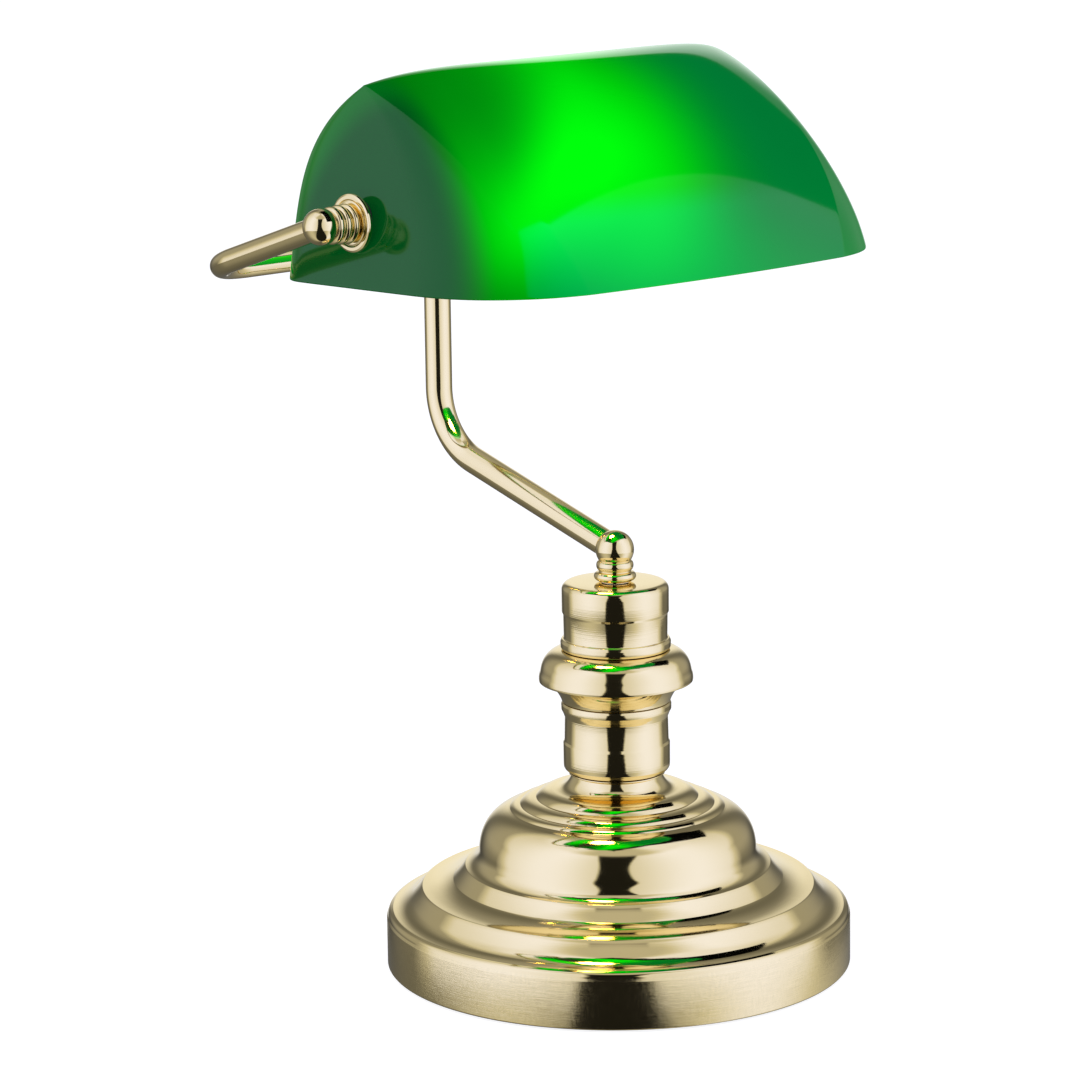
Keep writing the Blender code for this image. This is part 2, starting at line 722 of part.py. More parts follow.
def outline(level, wall, run, corner):
    """One row of the glass, as a closed loop; level is 0 at the rim and 1 at the crest."""
    half = end_face(RIM + level * (CREST_ENDS - wall), wall)
    front_mid = CREST_Y - (FRONT_REACH - wall) * fall(level, FRONT_FALL)
    back_mid = CREST_Y + (BACK_REACH - wall) * fall(level, BACK_FALL)
    front_end = CREST_ENDS_Y - (FRONT_CORNER_REACH - wall) * fall(level, FRONT_CORNER_FALL)
    back_end = CREST_ENDS_Y + (BACK_CORNER_REACH - wall) * fall(level, BACK_CORNER_FALL)
    room = 0.45 * (back_end - front_end)
    rim_radius, crest_radius = FRONT_CORNER_RADII
    front_round = min(crest_radius + (rim_radius - wall) * (1.0 - level), room)
    rim_radius, crest_radius = BACK_CORNER_RADII
    back_round = min(crest_radius + (rim_radius - wall) * (1.0 - level ** 2), room)

    def front_y(x):
        return front_end + (front_mid - front_end) * (1.0 - (x / half) ** 2)

    def back_y(x):
        return back_end + (back_mid - back_end) * (1.0 - (x / half) ** 2)

    def height(x):
        across = min(abs(x) / half, 1.0) ** CREST_DROP_POWER
        return RIM + level * (CREST - wall - (CREST - CREST_ENDS) * across)

    def rounded(start, handle_start, handle_end, end):
        points = []
        for index in range(1, corner):
            t = index / corner
            s = 1.0 - t
            points.append(
                start * s ** 3 + handle_start * 3.0 * s * s * t
                + handle_end * 3.0 * s * t * t + end * t ** 3)
        return points

    loop = []
    turn_in = half - front_round
    for index in range(run + 1):
        x = turn_in * math.sin(math.pi * (index / run - 0.5))
        loop.append(Vector((x, front_y(x))))
    hold = 0.5523
    slope = 2.0 * (front_end - front_mid) * turn_in / half ** 2
    start = loop[-1]
    end = Vector((half, front_end + front_round))
    loop += rounded(
        start, start + Vector((1.0, slope)) * hold * front_round,
        end - Vector((0.0, 1.0)) * hold * front_round, end)
    far = Vector((half, back_end - back_round))
    for index in range(4):
        loop.append(end.lerp(far, index / 3.0))
    turn_in = half - back_round
    start = Vector((turn_in, back_y(turn_in)))
    loop += rounded(
        far, far + Vector((0.0, 1.0)) * hold * back_round,
        start + Vector((1.0, 0.0)) * hold * back_round, start)
    right_side = loop[run + 1:]
    for index in range(run + 1):
        x = turn_in * math.sin(math.pi * (0.5 - index / run))
        loop.append(Vector((x, back_y(x))))
    loop += [Vector((-point.x, point.y)) for point in reversed(right_side)]
    return [Vector((point.x, point.y, height(point.x))) for point in loop]


def shade_glass(tilt):
    """Cased glass trough: an outer and an inner skin of lofted rows that meet at the rim."""
    rows = 8
    shape = bmesh.new()
    rims = []
    for wall in (0.0, GLASS):
        previous = None
        for index in range(rows + 1):
            level = math.sin(math.pi / 2.0 * index / rows)
            row = [shape.verts.new(place - PIVOT) for place in outline(level, wall, 10, 3)]
            if previous:
                for here in range(len(row)):
                    there = (here + 1) % len(row)
                    face = [previous[here], previous[there], row[there], row[here]]
                    shape.faces.new(face if wall == 0.0 else reversed(face))
            else:
                rims.append(row)
            previous = row
    outer, inner = rims
    for here in range(len(outer)):
        there = (here + 1) % len(outer)
        shape.faces.new([outer[there], outer[here], inner[here], inner[there]])
    bmesh.ops.remove_doubles(shape, verts=shape.verts, dist=0.00002)
    mesh = bpy.data.meshes.new("shade_glass")
    shape.to_mesh(mesh)
    shape.free()
    made = add_object("shade_glass", mesh, "green_glass", tilt)
    for side in (-1, 1):
        centre = Vector((side * 105.0 * MM, PIVOT.y, PIVOT.z))
        reach = Vector((14.0 * MM, 0.0, 0.0))
        cut(made, cylinder_cutter(
            f"pivot_hole_{side}", centre - reach, centre + reach, ROD_CLEARANCE + 0.4 * MM, 20))
    return made


def end_plane_cutter(name, side, wall, fills, tilt):
    """A block that ends just short of an end face of the glass; fills is the way it extends."""
    lean = math.atan(END_LEAN)
    half_block = 15.0 * MM
    normal = Vector((math.cos(lean), 0.0, math.sin(lean)))
    centre = Vector((end_face(PIVOT.z, wall), 0.0, 0.0)) + normal * fills * (half_block - GAP)
    centre.x *= side
    block = (2.0 * half_block, 60.0 * MM, 60.0 * MM)
    cutter = box_cutter(name, centre, block, (0.0, -side * lean, 0.0))
    cutter.parent = tilt
    return cutter


def pivot_hardware(side, tilt):
    name = {-1: "left", 1: "right"}[side]
    nipple = ring(
        f"pivot_nipple_{name}", ROD_BORE, ROD_RADIUS, NIPPLE_INNER[side], NIPPLE_OUTER,
        "zinc_steel", 16, 0.5 * MM)
    along_x(nipple, 0.0, side)
    flange = turned(
        f"flange_washer_{name}",
        [
            (ROD_CLEARANCE, FLANGE[1]),
            (FLANGE_RADIUS - 1.0 * MM, FLANGE[1]),
            (FLANGE_RADIUS - 0.3 * MM, FLANGE[1] - 0.3 * MM),
            (FLANGE_RADIUS, FLANGE[1] - 0.9 * MM),
            (FLANGE_RADIUS, FLANGE[0]),
            (ROD_CLEARANCE, FLANGE[0]),
        ],
        "polished_brass", 24)
    along_x(flange, 0.0, side)
    pads = (
        ("outer", 0.0, 100.0 * MM, FLANGE[0] - GAP, -1.0),
        ("inner", GLASS, INNER_FACE, 108.0 * MM, 1.0),
    )
    for place, wall, near, far, fills in pads:
        pad = ring(
            f"{place}_rubber_washer_{name}", ROD_CLEARANCE, WASHER_RADIUS, near, far,
            "black_rubber", 16, 0.4 * MM, tilt)
        pad.rotation_euler = (0.0, side * math.pi / 2.0, 0.0)
        cut(pad, end_plane_cutter(f"{place}_plane_{name}", side, wall, fills, tilt))
    washer = ring(
        f"steel_washer_{name}", ROD_CLEARANCE, 9.0 * MM, STEEL_WASHER[0], STEEL_WASHER[1],
        "zinc_steel", 20)
    along_x(washer, 0.0, side)
    nut = hex_nut(f"pivot_nut_{name}", 14.0 * MM, ROD_CLEARANCE, NUT[0], NUT[1], "zinc_steel")
    along_x(nut, 0.0, side)


# Lampholder and bulb: profiles turned about the pivot axis, their heights being X positions


def lampholder():
    cap = [
        (HOLDER_RADIUS, HOLDER_JOINT),
        (HOLDER_RADIUS, HOLDER_JOINT - 4.0 * MM),
        (HOLDER_RADIUS - 2.4 * MM, HOLDER_JOINT - 9.0 * MM),
        (12.0 * MM, HOLDER_JOINT - 12.4 * MM),
        (8.6 * MM, HOLDER_JOINT - 13.4 * MM),
        (8.0 * MM, HOLDER_BACK),
        (ROD_CLEARANCE, HOLDER_BACK),
        (ROD_CLEARANCE, HOLDER_JOINT - 9.4 * MM),
        (11.0 * MM, HOLDER_JOINT - 9.4 * MM),
        (16.6 * MM, HOLDER_JOINT - 5.0 * MM),
        (16.6 * MM, HOLDER_JOINT),
    ]
    along_x(turned("holder_cap", cap, "black_plastic", 24), 0.0)
    joint = HOLDER_JOINT + GAP
    body = [
        (HOLDER_RADIUS - 0.8 * MM, HOLDER_MOUTH),
        (HOLDER_RADIUS, HOLDER_MOUTH - 0.8 * MM),
        (HOLDER_RADIUS, joint),
        (16.2 * MM, joint),
        (16.2 * MM, HOLDER_MOUTH - 1.0 * MM),
        (15.4 * MM, HOLDER_MOUTH),
    ]
    along_x(turned("holder_body", body, "black_plastic", 24), 0.0)
    insert_face = BULB_CAP_BACK - 1.9 * MM
    along_x(ring("holder_insert", 2.0 * MM, 15.8 * MM, joint, insert_face, "white_ceramic"), 0.0)
    contact = [
        (0.0, BULB_CAP_BACK - 0.3 * MM),
        (1.8 * MM, BULB_CAP_BACK - 0.3 * MM),
        (3.8 * MM, BULB_CAP_BACK - 1.0 * MM),
        (3.8 * MM, insert_face + GAP),
        (0.0, insert_face + GAP),
    ]
    along_x(turned("centre_contact", contact, "polished_brass", 16, closed=False), 0.0)
    screw_shell = ring(
        "socket_screw_shell", 13.8 * MM, 14.3 * MM, insert_face + GAP, HOLDER_MOUTH - 2.5 * MM,
        "polished_brass", 24, 0.1 * MM)
    along_x(screw_shell, 0.0)


def bulb():
    tip = BULB_CAP_BACK
    contact = [
        (0.0, tip + 0.9 * MM),
        (4.2 * MM, tip + 0.9 * MM),
        (3.6 * MM, tip + 0.3 * MM),
        (0.0, tip),
    ]
    along_x(turned("bulb_contact", contact, "zinc_steel", 16, closed=False), 0.0)
    insulator = [
        (0.0, tip + 4.0 * MM),
        (9.0 * MM, tip + 4.0 * MM),
        (9.0 * MM, tip + 3.4 * MM),
        (5.0 * MM, tip + 1.2 * MM),
        (0.0, tip + 1.2 * MM),
    ]
    along_x(turned("bulb_insulator", insulator, "black_plastic", 16, closed=False), 0.0)
    cap = [
        (13.1 * MM, BULB_NECK - 0.3 * MM),
        (13.1 * MM, tip + 6.4 * MM),
        (10.0 * MM, tip + 4.3 * MM),
        (9.4 * MM, tip + 4.3 * MM),
        (12.6 * MM, tip + 6.9 * MM),
        (12.6 * MM, BULB_NECK - 0.3 * MM),
    ]
    along_x(turned("bulb_cap", cap, "zinc_steel", 24), 0.0)
    centre = (0.0, GLOBE_CENTRE)
    outside = [(0.0, GLOBE_CENTRE + GLOBE_RADIUS)] + arc(centre, GLOBE_RADIUS, 80.0, -50.0, 6)
    outside += [(12.9 * MM, BULB_NECK + 7.0 * MM), (12.4 * MM, BULB_NECK)]
    inside = [(11.4 * MM, BULB_NECK), (11.9 * MM, BULB_NECK + 7.4 * MM)]
    thin = GLOBE_RADIUS - MM
    inside += arc(centre, thin, -50.0, 80.0, 6) + [(0.0, GLOBE_CENTRE + thin)]
    glass = turned("bulb_glass", outside + inside, "frosted_glass", 20, closed=False)
    along_x(glass, 0.0)
    mount = [
        (0.0, GLOBE_CENTRE - 8.0 * MM),
        (2.6 * MM, GLOBE_CENTRE - 9.0 * MM),
        (3.0 * MM, BULB_NECK + 10.0 * MM),
        (9.6 * MM, BULB_NECK + 1.0 * MM),
        (9.6 * MM, BULB_NECK),
        (0.0, BULB_NECK),
    ]
    along_x(turned("bulb_mount", mount, "clear_glass", 16, closed=False), 0.0)
    filament()


def filament():
    """Coiled wire drawn as one fine rod, on two supports that stand out of the glass mount."""
    span = 10.0 * MM
    wire = []
    for index in range(7):
        along = index / 6.0
        sag = 4.0 * along * (1.0 - along)
        wire.append(Vector((
            GLOBE_CENTRE + 1.0 * MM + 3.0 * MM * sag, PIVOT.y + span * (2.0 * along - 1.0), PIVOT.z)))
    curve_rod("filament", wire, 0.3 * MM, "tungsten", 1)
    for number, way in ((1, -1), (2, 1)):
        foot = Vector((GLOBE_CENTRE - 7.4 * MM, PIVOT.y + way * 1.2 * MM, PIVOT.z))
        end = Vector((GLOBE_CENTRE, PIVOT.y + way * (span + 0.4 * MM), PIVOT.z))
        curve_rod(f"filament_support_{number}", [foot, end], 0.35 * MM, "zinc_steel", 1)


# Wiring


def supply_lead():
    """Sheathed lead inside the rod, stem and yoke, from the terminal block to the lampholder."""
    reach = Vector((0.0, math.cos(STEM_RISE), math.sin(STEM_RISE)))
    foot = Vector((0.0, 0.0, STEM_FOOT))
    low = 7.2 * MM
    route = [
        Vector((0.0, 66.0 * MM, low)),
        Vector((0.0, 0.0, low)),
        foot,
        foot + reach * (STEM_BACK / math.cos(STEM_RISE)),
        Vector((0.0, STEM_BACK, YOKE_HEIGHT)),
        Vector((-ARM_OUT, STEM_BACK, YOKE_HEIGHT)),
        Vector((-ARM_OUT, PIVOT.y, PIVOT.z)),
        Vector((-81.5 * MM, PIVOT.y, PIVOT.z)),
    ]
    bends = [6.5 * MM, 4.6 * MM, STEM_BEND, 4.6 * MM, YOKE_BEND, 4.6 * MM]
    curve_rod("supply_lead", bent_path(route, bends, 4), LEAD_RADIUS, "lead_sheath", 1)


def build():
    base_shell()
    base_weight()
    bottom_plate()
    plate_screws()
    felt_pad()
    cable_gland()
    terminal_block()
    threaded_rod()
    rod_fasteners()
    neck_ring()
    cup("lower_cup", *LOWER_CUP)
    skirt()
    cup("upper_cup", UPPER_CUP[1], UPPER_CUP[0])
    stem_elbow()
    stem_tube()
    yoke_tee()
    tilt = add_empty("shade_tilt", PIVOT, (REST_TILT, 0.0, 0.0))
    for side in (-1, 1):
        yoke_arm(side)
        pivot_elbow(side)
        pivot_hardware(side, tilt)
    shade_glass(tilt)
    lampholder()
    bulb()
    supply_lead()
    for made in LAMP.objects:
        if made.type == "MESH":
            smooth(made)


build()
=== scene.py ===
import math

import bmesh
import bpy
from mathutils import Matrix, Vector


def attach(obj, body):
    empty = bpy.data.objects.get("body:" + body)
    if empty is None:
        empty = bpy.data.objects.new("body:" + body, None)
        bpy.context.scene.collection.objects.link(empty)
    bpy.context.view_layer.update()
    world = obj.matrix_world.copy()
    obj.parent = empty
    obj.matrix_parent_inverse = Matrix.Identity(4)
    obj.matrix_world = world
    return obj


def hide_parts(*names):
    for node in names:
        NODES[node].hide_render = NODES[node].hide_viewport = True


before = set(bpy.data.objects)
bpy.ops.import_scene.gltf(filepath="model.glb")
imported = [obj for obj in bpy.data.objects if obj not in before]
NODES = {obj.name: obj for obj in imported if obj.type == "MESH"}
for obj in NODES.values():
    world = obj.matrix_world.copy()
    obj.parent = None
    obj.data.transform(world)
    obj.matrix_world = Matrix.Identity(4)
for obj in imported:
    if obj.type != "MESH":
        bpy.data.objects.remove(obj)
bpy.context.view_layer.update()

MM = 0.001
SIDES = {-1: "left", 1: "right"}

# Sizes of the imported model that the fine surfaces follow
BASE_RADIUS = 95.2
RIM_TOP = 21.5
NECK_TOP = 79.4
CUP_RADIUS = 21.8
LOWER_CUP = (80.6, 109.8)
UPPER_CUP = (131.9, 159.3)
SKIRT_RADIUS = 31.4
SKIRT_EDGE = 118.4
ROD_HOLE = 5.3
STEM_RADIUS = 5.6
STEM_FOOT = Vector((0.0, 0.0, 172.6))
STEM_REACH = Vector((0.0, math.cos(math.radians(16.4)), math.sin(math.radians(16.4))))
STEM_BACK = 107.2
YOKE_RADIUS = 4.7
YOKE_HEIGHT = 288.2
ARM_OUT = 125.5
PIVOT = Vector((0.0, 28.4, 313.6))
REST_TILT = math.radians(-1.3)
RIM = 288.0
GLASS = 3.5
HALF_LENGTH = 111.6
END_LEAN = 0.2
CREST = 83.3
CREST_ENDS = 77.3
CREST_DROP_POWER = 5.4
CREST_Y = 12.0
CREST_ENDS_Y = 35.3
FRONT_REACH = 77.0
FRONT_CORNER_REACH = 90.9
BACK_REACH = 65.5
BACK_CORNER_REACH = 41.4

NIPPLE_END = 120.5
PITCH = 1.0
WASHER_RADII = (5.3, 5.6, 8.1, 8.5)
GLAND_HEIGHT = 12.4

# Degrees of a rounded corner for each of its segments; how far a quarter turn's handles reach
EASE_STEP = 9.0
CURVE_HOLD = 0.5523

# The photograph's camera: lens in millimetres, place in metres, angles in degrees
CAMERA_LENS = 140.0
CAMERA_PLACE = (-1.13234, -1.21427, 0.52756)
CAMERA_ANGLES = (78.0679, 0.77, -42.1227)
CAMERA_TURN = -41.96

# Painted light: bright patches of the bulb's light painted on the glass as emission: strength, x,
# z, width, height, slope
PAINTED_GLOWS = (
    (0.264, -49.8, 331.1, 17.0, 10.5, 0.635),
    (0.646, -239.1, 365.0, 142.0, 20.3, -0.309),
    (0.619, -25.7, 340.0, 24.3, 26.2, 0.159),
    (0.373, -65.8, 334.0, 24.4, 9.5, 0.847),
)


# ---- Node helpers -------------------------------------------------------------------------


class Field:
    """A shader value that can be used in arithmetic; each operation adds one Math node."""

    def __init__(self, tree, value):
        self.tree = tree
        self.value = value

    def math(self, operation, *others):
        node = self.tree.nodes.new("ShaderNodeMath")
        node.operation = operation
        for socket, item in zip(node.inputs, (self, *others)):
            plug(self.tree, item, socket)
        return Field(self.tree, node.outputs[0])

    def __add__(self, other):
        return self.math("ADD", other)

    __radd__ = __add__

    def __sub__(self, other):
        return self.math("SUBTRACT", other)

    def __rsub__(self, other):
        return Field(self.tree, other).math("SUBTRACT", self)

    def __mul__(self, other):
        return self.math("MULTIPLY", other)

    __rmul__ = __mul__

    def __truediv__(self, other):
        return self.math("DIVIDE", other)

    def power(self, other):
        return self.math("POWER", other)

    def bell(self, centre, below, above=None):
        """1 at the centre, falling off as a Gaussian with one width below it and one above."""
        away = self - centre
        if above is None or above == below:
            scaled = away / below
        else:
            scaled = away.math("MAXIMUM", 0.0) / above + away.math("MINIMUM", 0.0) / below
        return falling(scaled * scaled)

    def ramp(self, start, end, low=0.0, high=1.0):
        """Smooth step from low at start to high at end."""
        node = self.tree.nodes.new("ShaderNodeMapRange")
        node.interpolation_type = "SMOOTHSTEP"
        node.inputs["From Min"].default_value = min(start, end)
        node.inputs["From Max"].default_value = max(start, end)
        node.inputs["To Min"].default_value = low if start < end else high
        node.inputs["To Max"].default_value = high if start < end else low
        plug(self.tree, self, node.inputs["Value"])
        return Field(self.tree, node.outputs["Result"])


def falling(square):
    """exp(-square / 2): a Gaussian of the distance whose square is given."""
    return Field(square.tree, math.e).math("POWER", square * -0.5)


def plug(tree, item, socket):
    if isinstance(item, Field):
        item = item.value
    if isinstance(item, bpy.types.NodeSocket):
        tree.links.new(item, socket)
    else:
        socket.default_value = item


def combined(tree, kind, items):
    node = tree.nodes.new(kind)
    for socket, item in zip(node.inputs, items):
        plug(tree, item, socket)
    return node.outputs[0]


def colour(tree, red, green, blue):
    return combined(tree, "ShaderNodeCombineColor", (red, green, blue))


def join_vector(tree, x, y, z):
    return combined(tree, "ShaderNodeCombineXYZ", (x, y, z))


def place_in(tree):
    """Object coordinates as three fields, in millimetres."""
    coordinates = tree.nodes.new("ShaderNodeTexCoord")
    split = tree.nodes.new("ShaderNodeSeparateXYZ")
    tree.links.new(coordinates.outputs["Object"], split.inputs[0])
    return [Field(tree, socket) / MM for socket in split.outputs]


def noise(tree, scale, detail=3.0, stretch=None, vector=None):
    """Noise from 0 to 1 in object space; scale counts features per metre."""
    node = tree.nodes.new("ShaderNodeTexNoise")
    node.inputs["Scale"].default_value = scale
    node.inputs["Detail"].default_value = detail
    if vector is None:
        vector = tree.nodes.new("ShaderNodeTexCoord").outputs["Object"]
    if stretch:
        mapping = tree.nodes.new("ShaderNodeMapping")
        mapping.inputs["Scale"].default_value = stretch
        tree.links.new(vector, mapping.inputs["Vector"])
        vector = mapping.outputs[0]
    tree.links.new(vector, node.inputs["Vector"])
    return Field(tree, node.outputs["Fac"])


def bump(tree, shader, height, strength, distance):
    node = tree.nodes.new("ShaderNodeBump")
    node.inputs["Strength"].default_value = strength
    node.inputs["Distance"].default_value = distance
    plug(tree, height, node.inputs["Height"])
    tree.links.new(node.outputs[0], shader.inputs["Normal"])


def blend_colours(tree, amount, first, second):
    node = tree.nodes.new("ShaderNodeMix")
    node.data_type = "RGBA"
    plug(tree, amount, node.inputs["Factor"])
    node.inputs["A"].default_value = (*first, 1.0)
    node.inputs["B"].default_value = (*second, 1.0)
    return node.outputs["Result"]


def new_material(name, **settings):
    made = bpy.data.materials.new(name)
    made.use_nodes = True
    tree = made.node_tree
    shader = tree.nodes["Principled BSDF"]
    for socket, value in settings.items():
        shader.inputs[socket.replace("_", " ")].default_value = value
    return made, tree, shader


# ---- Materials ----------------------------------------------------------------------------


def brass(name, tone=(0.94, 0.775, 0.395), deep=(0.90, 0.735, 0.36), rough=0.07, spun=0.0):
    """Polished lacquered brass; spun adds fine turning lines round the upright axis."""
    made, tree, shader = new_material(name, Metallic=1.0)
    x, y, z = place_in(tree)
    cloud = noise(tree, 38.0, 4.0)
    tree.links.new(blend_colours(tree, cloud, deep, tone), shader.inputs["Base Color"])
    smear = noise(tree, 160.0, 5.0, (1.0, 1.0, 3.0))
    roughness = rough + (smear - 0.5) * 0.05
    height = noise(tree, 260.0, 2.0) * 0.35
    if spun:
        radius = (x * x + y * y).power(0.5)
        lines = noise(tree, 1.0, 4.0, vector=join_vector(tree, radius * 1.9, z * 2.3, 0.0))
        height = height + lines * spun
        roughness = roughness + (lines - 0.5) * 0.04
    plug(tree, roughness, shader.inputs["Roughness"])
    bump(tree, shader, height, 0.10, 0.0002)
    return made


def brushed_rim(name):
    """The base's brass: mirror polished above, circumferentially brushed on the upright rim."""
    made, tree, shader = new_material(name, Metallic=1.0)
    x, y, z = place_in(tree)
    radius = (x * x + y * y).power(0.5)
    on_rim = radius.ramp(94.4, 94.9) * z.ramp(RIM_TOP + 0.6, RIM_TOP - 0.4)
    turn = y.math("ARCTAN2", x)
    lines = noise(tree, 1.0, 4.0, vector=join_vector(tree, radius * 1.7, z * 2.1, 0.0))
    streaks = noise(tree, 1.0, 5.0, vector=join_vector(tree, turn * 90.0, z * 0.25, 0.0))
    hair = noise(tree, 1.0, 6.0, vector=join_vector(tree, turn * 7.0, z * 7.0, radius * 0.2))
    smear = noise(tree, 160.0, 5.0)
    cloud = noise(tree, 38.0, 4.0)
    shade = 1.0 + on_rim * ((hair - 0.5) * 0.34 + (streaks - 0.5) * 0.16)
    plug(
        tree,
        colour(tree, (0.90 + cloud * 0.04) * shade, (0.735 + cloud * 0.04) * shade,
               (0.36 + cloud * 0.035) * shade),
        shader.inputs["Base Color"])
    plug(
        tree,
        0.065 + (smear - 0.5) * 0.05 + (lines - 0.5) * 0.03
        + on_rim * (0.06 + (streaks - 0.5) * 0.12 + (hair - 0.5) * 0.06),
        shader.inputs["Roughness"])
    height = lines * 0.5 + noise(tree, 260.0, 2.0) * 0.3 + on_rim * (streaks * 0.5 + hair * 1.0)
    bump(tree, shader, height, 0.10, 0.0002)
    return made


def steel(name, tone=(0.62, 0.62, 0.60), rough=0.32):
    made, tree, shader = new_material(name, Metallic=1.0)
    cloud = noise(tree, 220.0, 4.0)
    dark = tuple(channel * 0.78 for channel in tone)
    tree.links.new(blend_colours(tree, cloud, dark, tone), shader.inputs["Base Color"])
    plug(tree, rough + (cloud - 0.5) * 0.2, shader.inputs["Roughness"])
    bump(tree, shader, noise(tree, 900.0, 3.0), 0.2, 0.0002)
    return made


def matt(name, tone, dark, rough, scale, strength):
    made, tree, shader = new_material(name)
    cloud = noise(tree, scale, 5.0)
    tree.links.new(blend_colours(tree, cloud, dark, tone), shader.inputs["Base Color"])
    plug(tree, rough + (cloud - 0.5) * 0.2, shader.inputs["Roughness"])
    bump(tree, shader, noise(tree, scale * 4.0, 4.0), strength, 0.0003)
    return made


def felt(name):
    made, tree, shader = new_material(name, Sheen_Weight=0.5, Sheen_Roughness=0.6)
    fibre = noise(tree, 1800.0, 6.0, (1.0, 0.35, 1.0))
    mottle = noise(tree, 120.0, 3.0)
    tree.links.new(
        blend_colours(tree, fibre * 0.7 + mottle * 0.3, (0.012, 0.012, 0.012), (0.07, 0.07, 0.07)),
        shader.inputs["Base Color"])
    plug(tree, 0.88 + (fibre - 0.5) * 0.15, shader.inputs["Roughness"])
    bump(tree, shader, fibre, 0.6, 0.0004)
    return made


def shade_outside(name):
    """Green glass over opal, glossy; the bulb's light from within is painted on as emission,
    brightest towards its left-hand end, with painted light on the end faces and reflections painted
    by place through the specular tint.
    """
    made, tree, shader = new_material(name, Roughness=0.09, IOR=1.5)
    x, y, z = place_in(tree)
    ripple = noise(tree, 26.0, 3.0)
    tree.links.new(
        blend_colours(tree, ripple, (0.000, 0.030, 0.003), (0.000, 0.040, 0.004)),
        shader.inputs["Base Color"])
    # Painted light: the bulb's bright patches summed as Gaussians of place on the glass.
    painted_glow = 0.0
    for strength, across, up, width, height, lean in PAINTED_GLOWS:
        aside = x - across
        rise = (z - up - aside * lean) / height
        aside = aside / width
        painted_glow = falling(aside * aside + rise * rise) * strength + painted_glow
    inset = x + HALF_LENGTH - (z - RIM) * END_LEAN
    # Painted light on the front and back skins: the patches over an even painted base, weaker on
    # the back skin, with painted shade darkening it towards the end faces.
    front = (painted_glow * y.ramp(46.0, 56.0, 1.0, 0.75) + 0.165) * inset.ramp(0.0, 20.0, 0.626, 1.0)
    # Painted light on the end faces: dull green emission, brighter towards the edge of the arch.
    back_out = (y - 12.0) / 62.0
    rise = (z - RIM) / CREST
    arch = back_out * back_out + rise * rise
    end = arch.ramp(0.62, 0.95) * 0.075 + 0.041
    on_front = inset.ramp(1.0, 12.0)
    green = front * on_front + end * (1.0 - on_front)
    green = green * (0.98 + ripple * 0.04)
    # Painted dulling of the right-hand part: bluer emission there, and a little blue on the end
    # faces.
    painted_dull_right = x.ramp(-15.0, 50.0)
    blue = painted_dull_right * 0.030 + (1.0 - on_front) * 0.006
    plug(tree, colour(tree, 0.0, green, blue), shader.inputs["Emission Color"])
    shader.inputs["Emission Strength"].default_value = 1.0
    # Painted reflection: the specular tint lets the end faces and the lower front reflect, warmer
    # on the right, and holds reflections back on the upper front.
    off_front = 1.0 - on_front
    painted_reflection_low_front = inset.ramp(14.0, 22.0) * z.ramp(327.0, 315.0)
    plug(
        tree,
        colour(tree, off_front * 0.50 + painted_reflection_low_front * painted_dull_right * 0.32, off_front * 0.9 + painted_reflection_low_front * 0.85,
               off_front * 0.45 + painted_reflection_low_front * (0.95 - painted_dull_right * 0.45)),
        shader.inputs["Specular Tint"])
    bump(tree, shader, noise(tree, 18.0, 2.0), 0.08, 0.001)
    return made


def shade_inside(name):
    """Inner face of the glass, with the bulb's light painted on as emission."""
    made, tree, shader = new_material(name, Roughness=0.18, IOR=1.5)
    x, y, z = place_in(tree)
    cloud = noise(tree, 30.0, 3.0)
    tree.links.new(
        blend_colours(tree, cloud, (0.04, 0.11, 0.04), (0.05, 0.14, 0.05)),
        shader.inputs["Base Color"])
    # Painted light: a pool of the bulb's light painted as emission, brightest close to the bulb,
    # over an even painted base.
    painted_bulb_pool = x.bell(-14.0, 36.0, 36.0) * z.bell(320.0, 60.0, 40.0)
    plug(
        tree, colour(tree, painted_bulb_pool * 0.75 + 0.045, painted_bulb_pool * 0.42 + 0.09, painted_bulb_pool * 0.01 + 0.028),
        shader.inputs["Emission Color"])
    shader.inputs["Emission Strength"].default_value = 1.0
    return made


def glowing_bulb(name):
    made, tree, shader = new_material(name, Roughness=0.35)
    x, y, z = place_in(tree)
    frost = noise(tree, 400.0, 4.0)
    tree.links.new(
        blend_colours(tree, frost, (0.90, 0.86, 0.78), (0.97, 0.94, 0.88)),
        shader.inputs["Base Color"])
    hot = x.bell(-12.0, 22.0, 22.0)
    plug(
        tree, colour(tree, hot * 30.0 + 3.0, hot * 19.0 + 1.8, hot * 7.0 + 0.6),
        shader.inputs["Emission Color"])
    shader.inputs["Emission Strength"].default_value = 1.0
    return made


def clear_glass(name):
    made, tree, shader = new_material(name, Roughness=0.04, IOR=1.5)
    shader.inputs["Transmission Weight"].default_value = 1.0
    tint = noise(tree, 80.0, 2.0)
    tree.links.new(
        blend_colours(tree, tint, (0.90, 0.93, 0.92), (0.97, 0.98, 0.98)),
        shader.inputs["Base Color"])
    return made


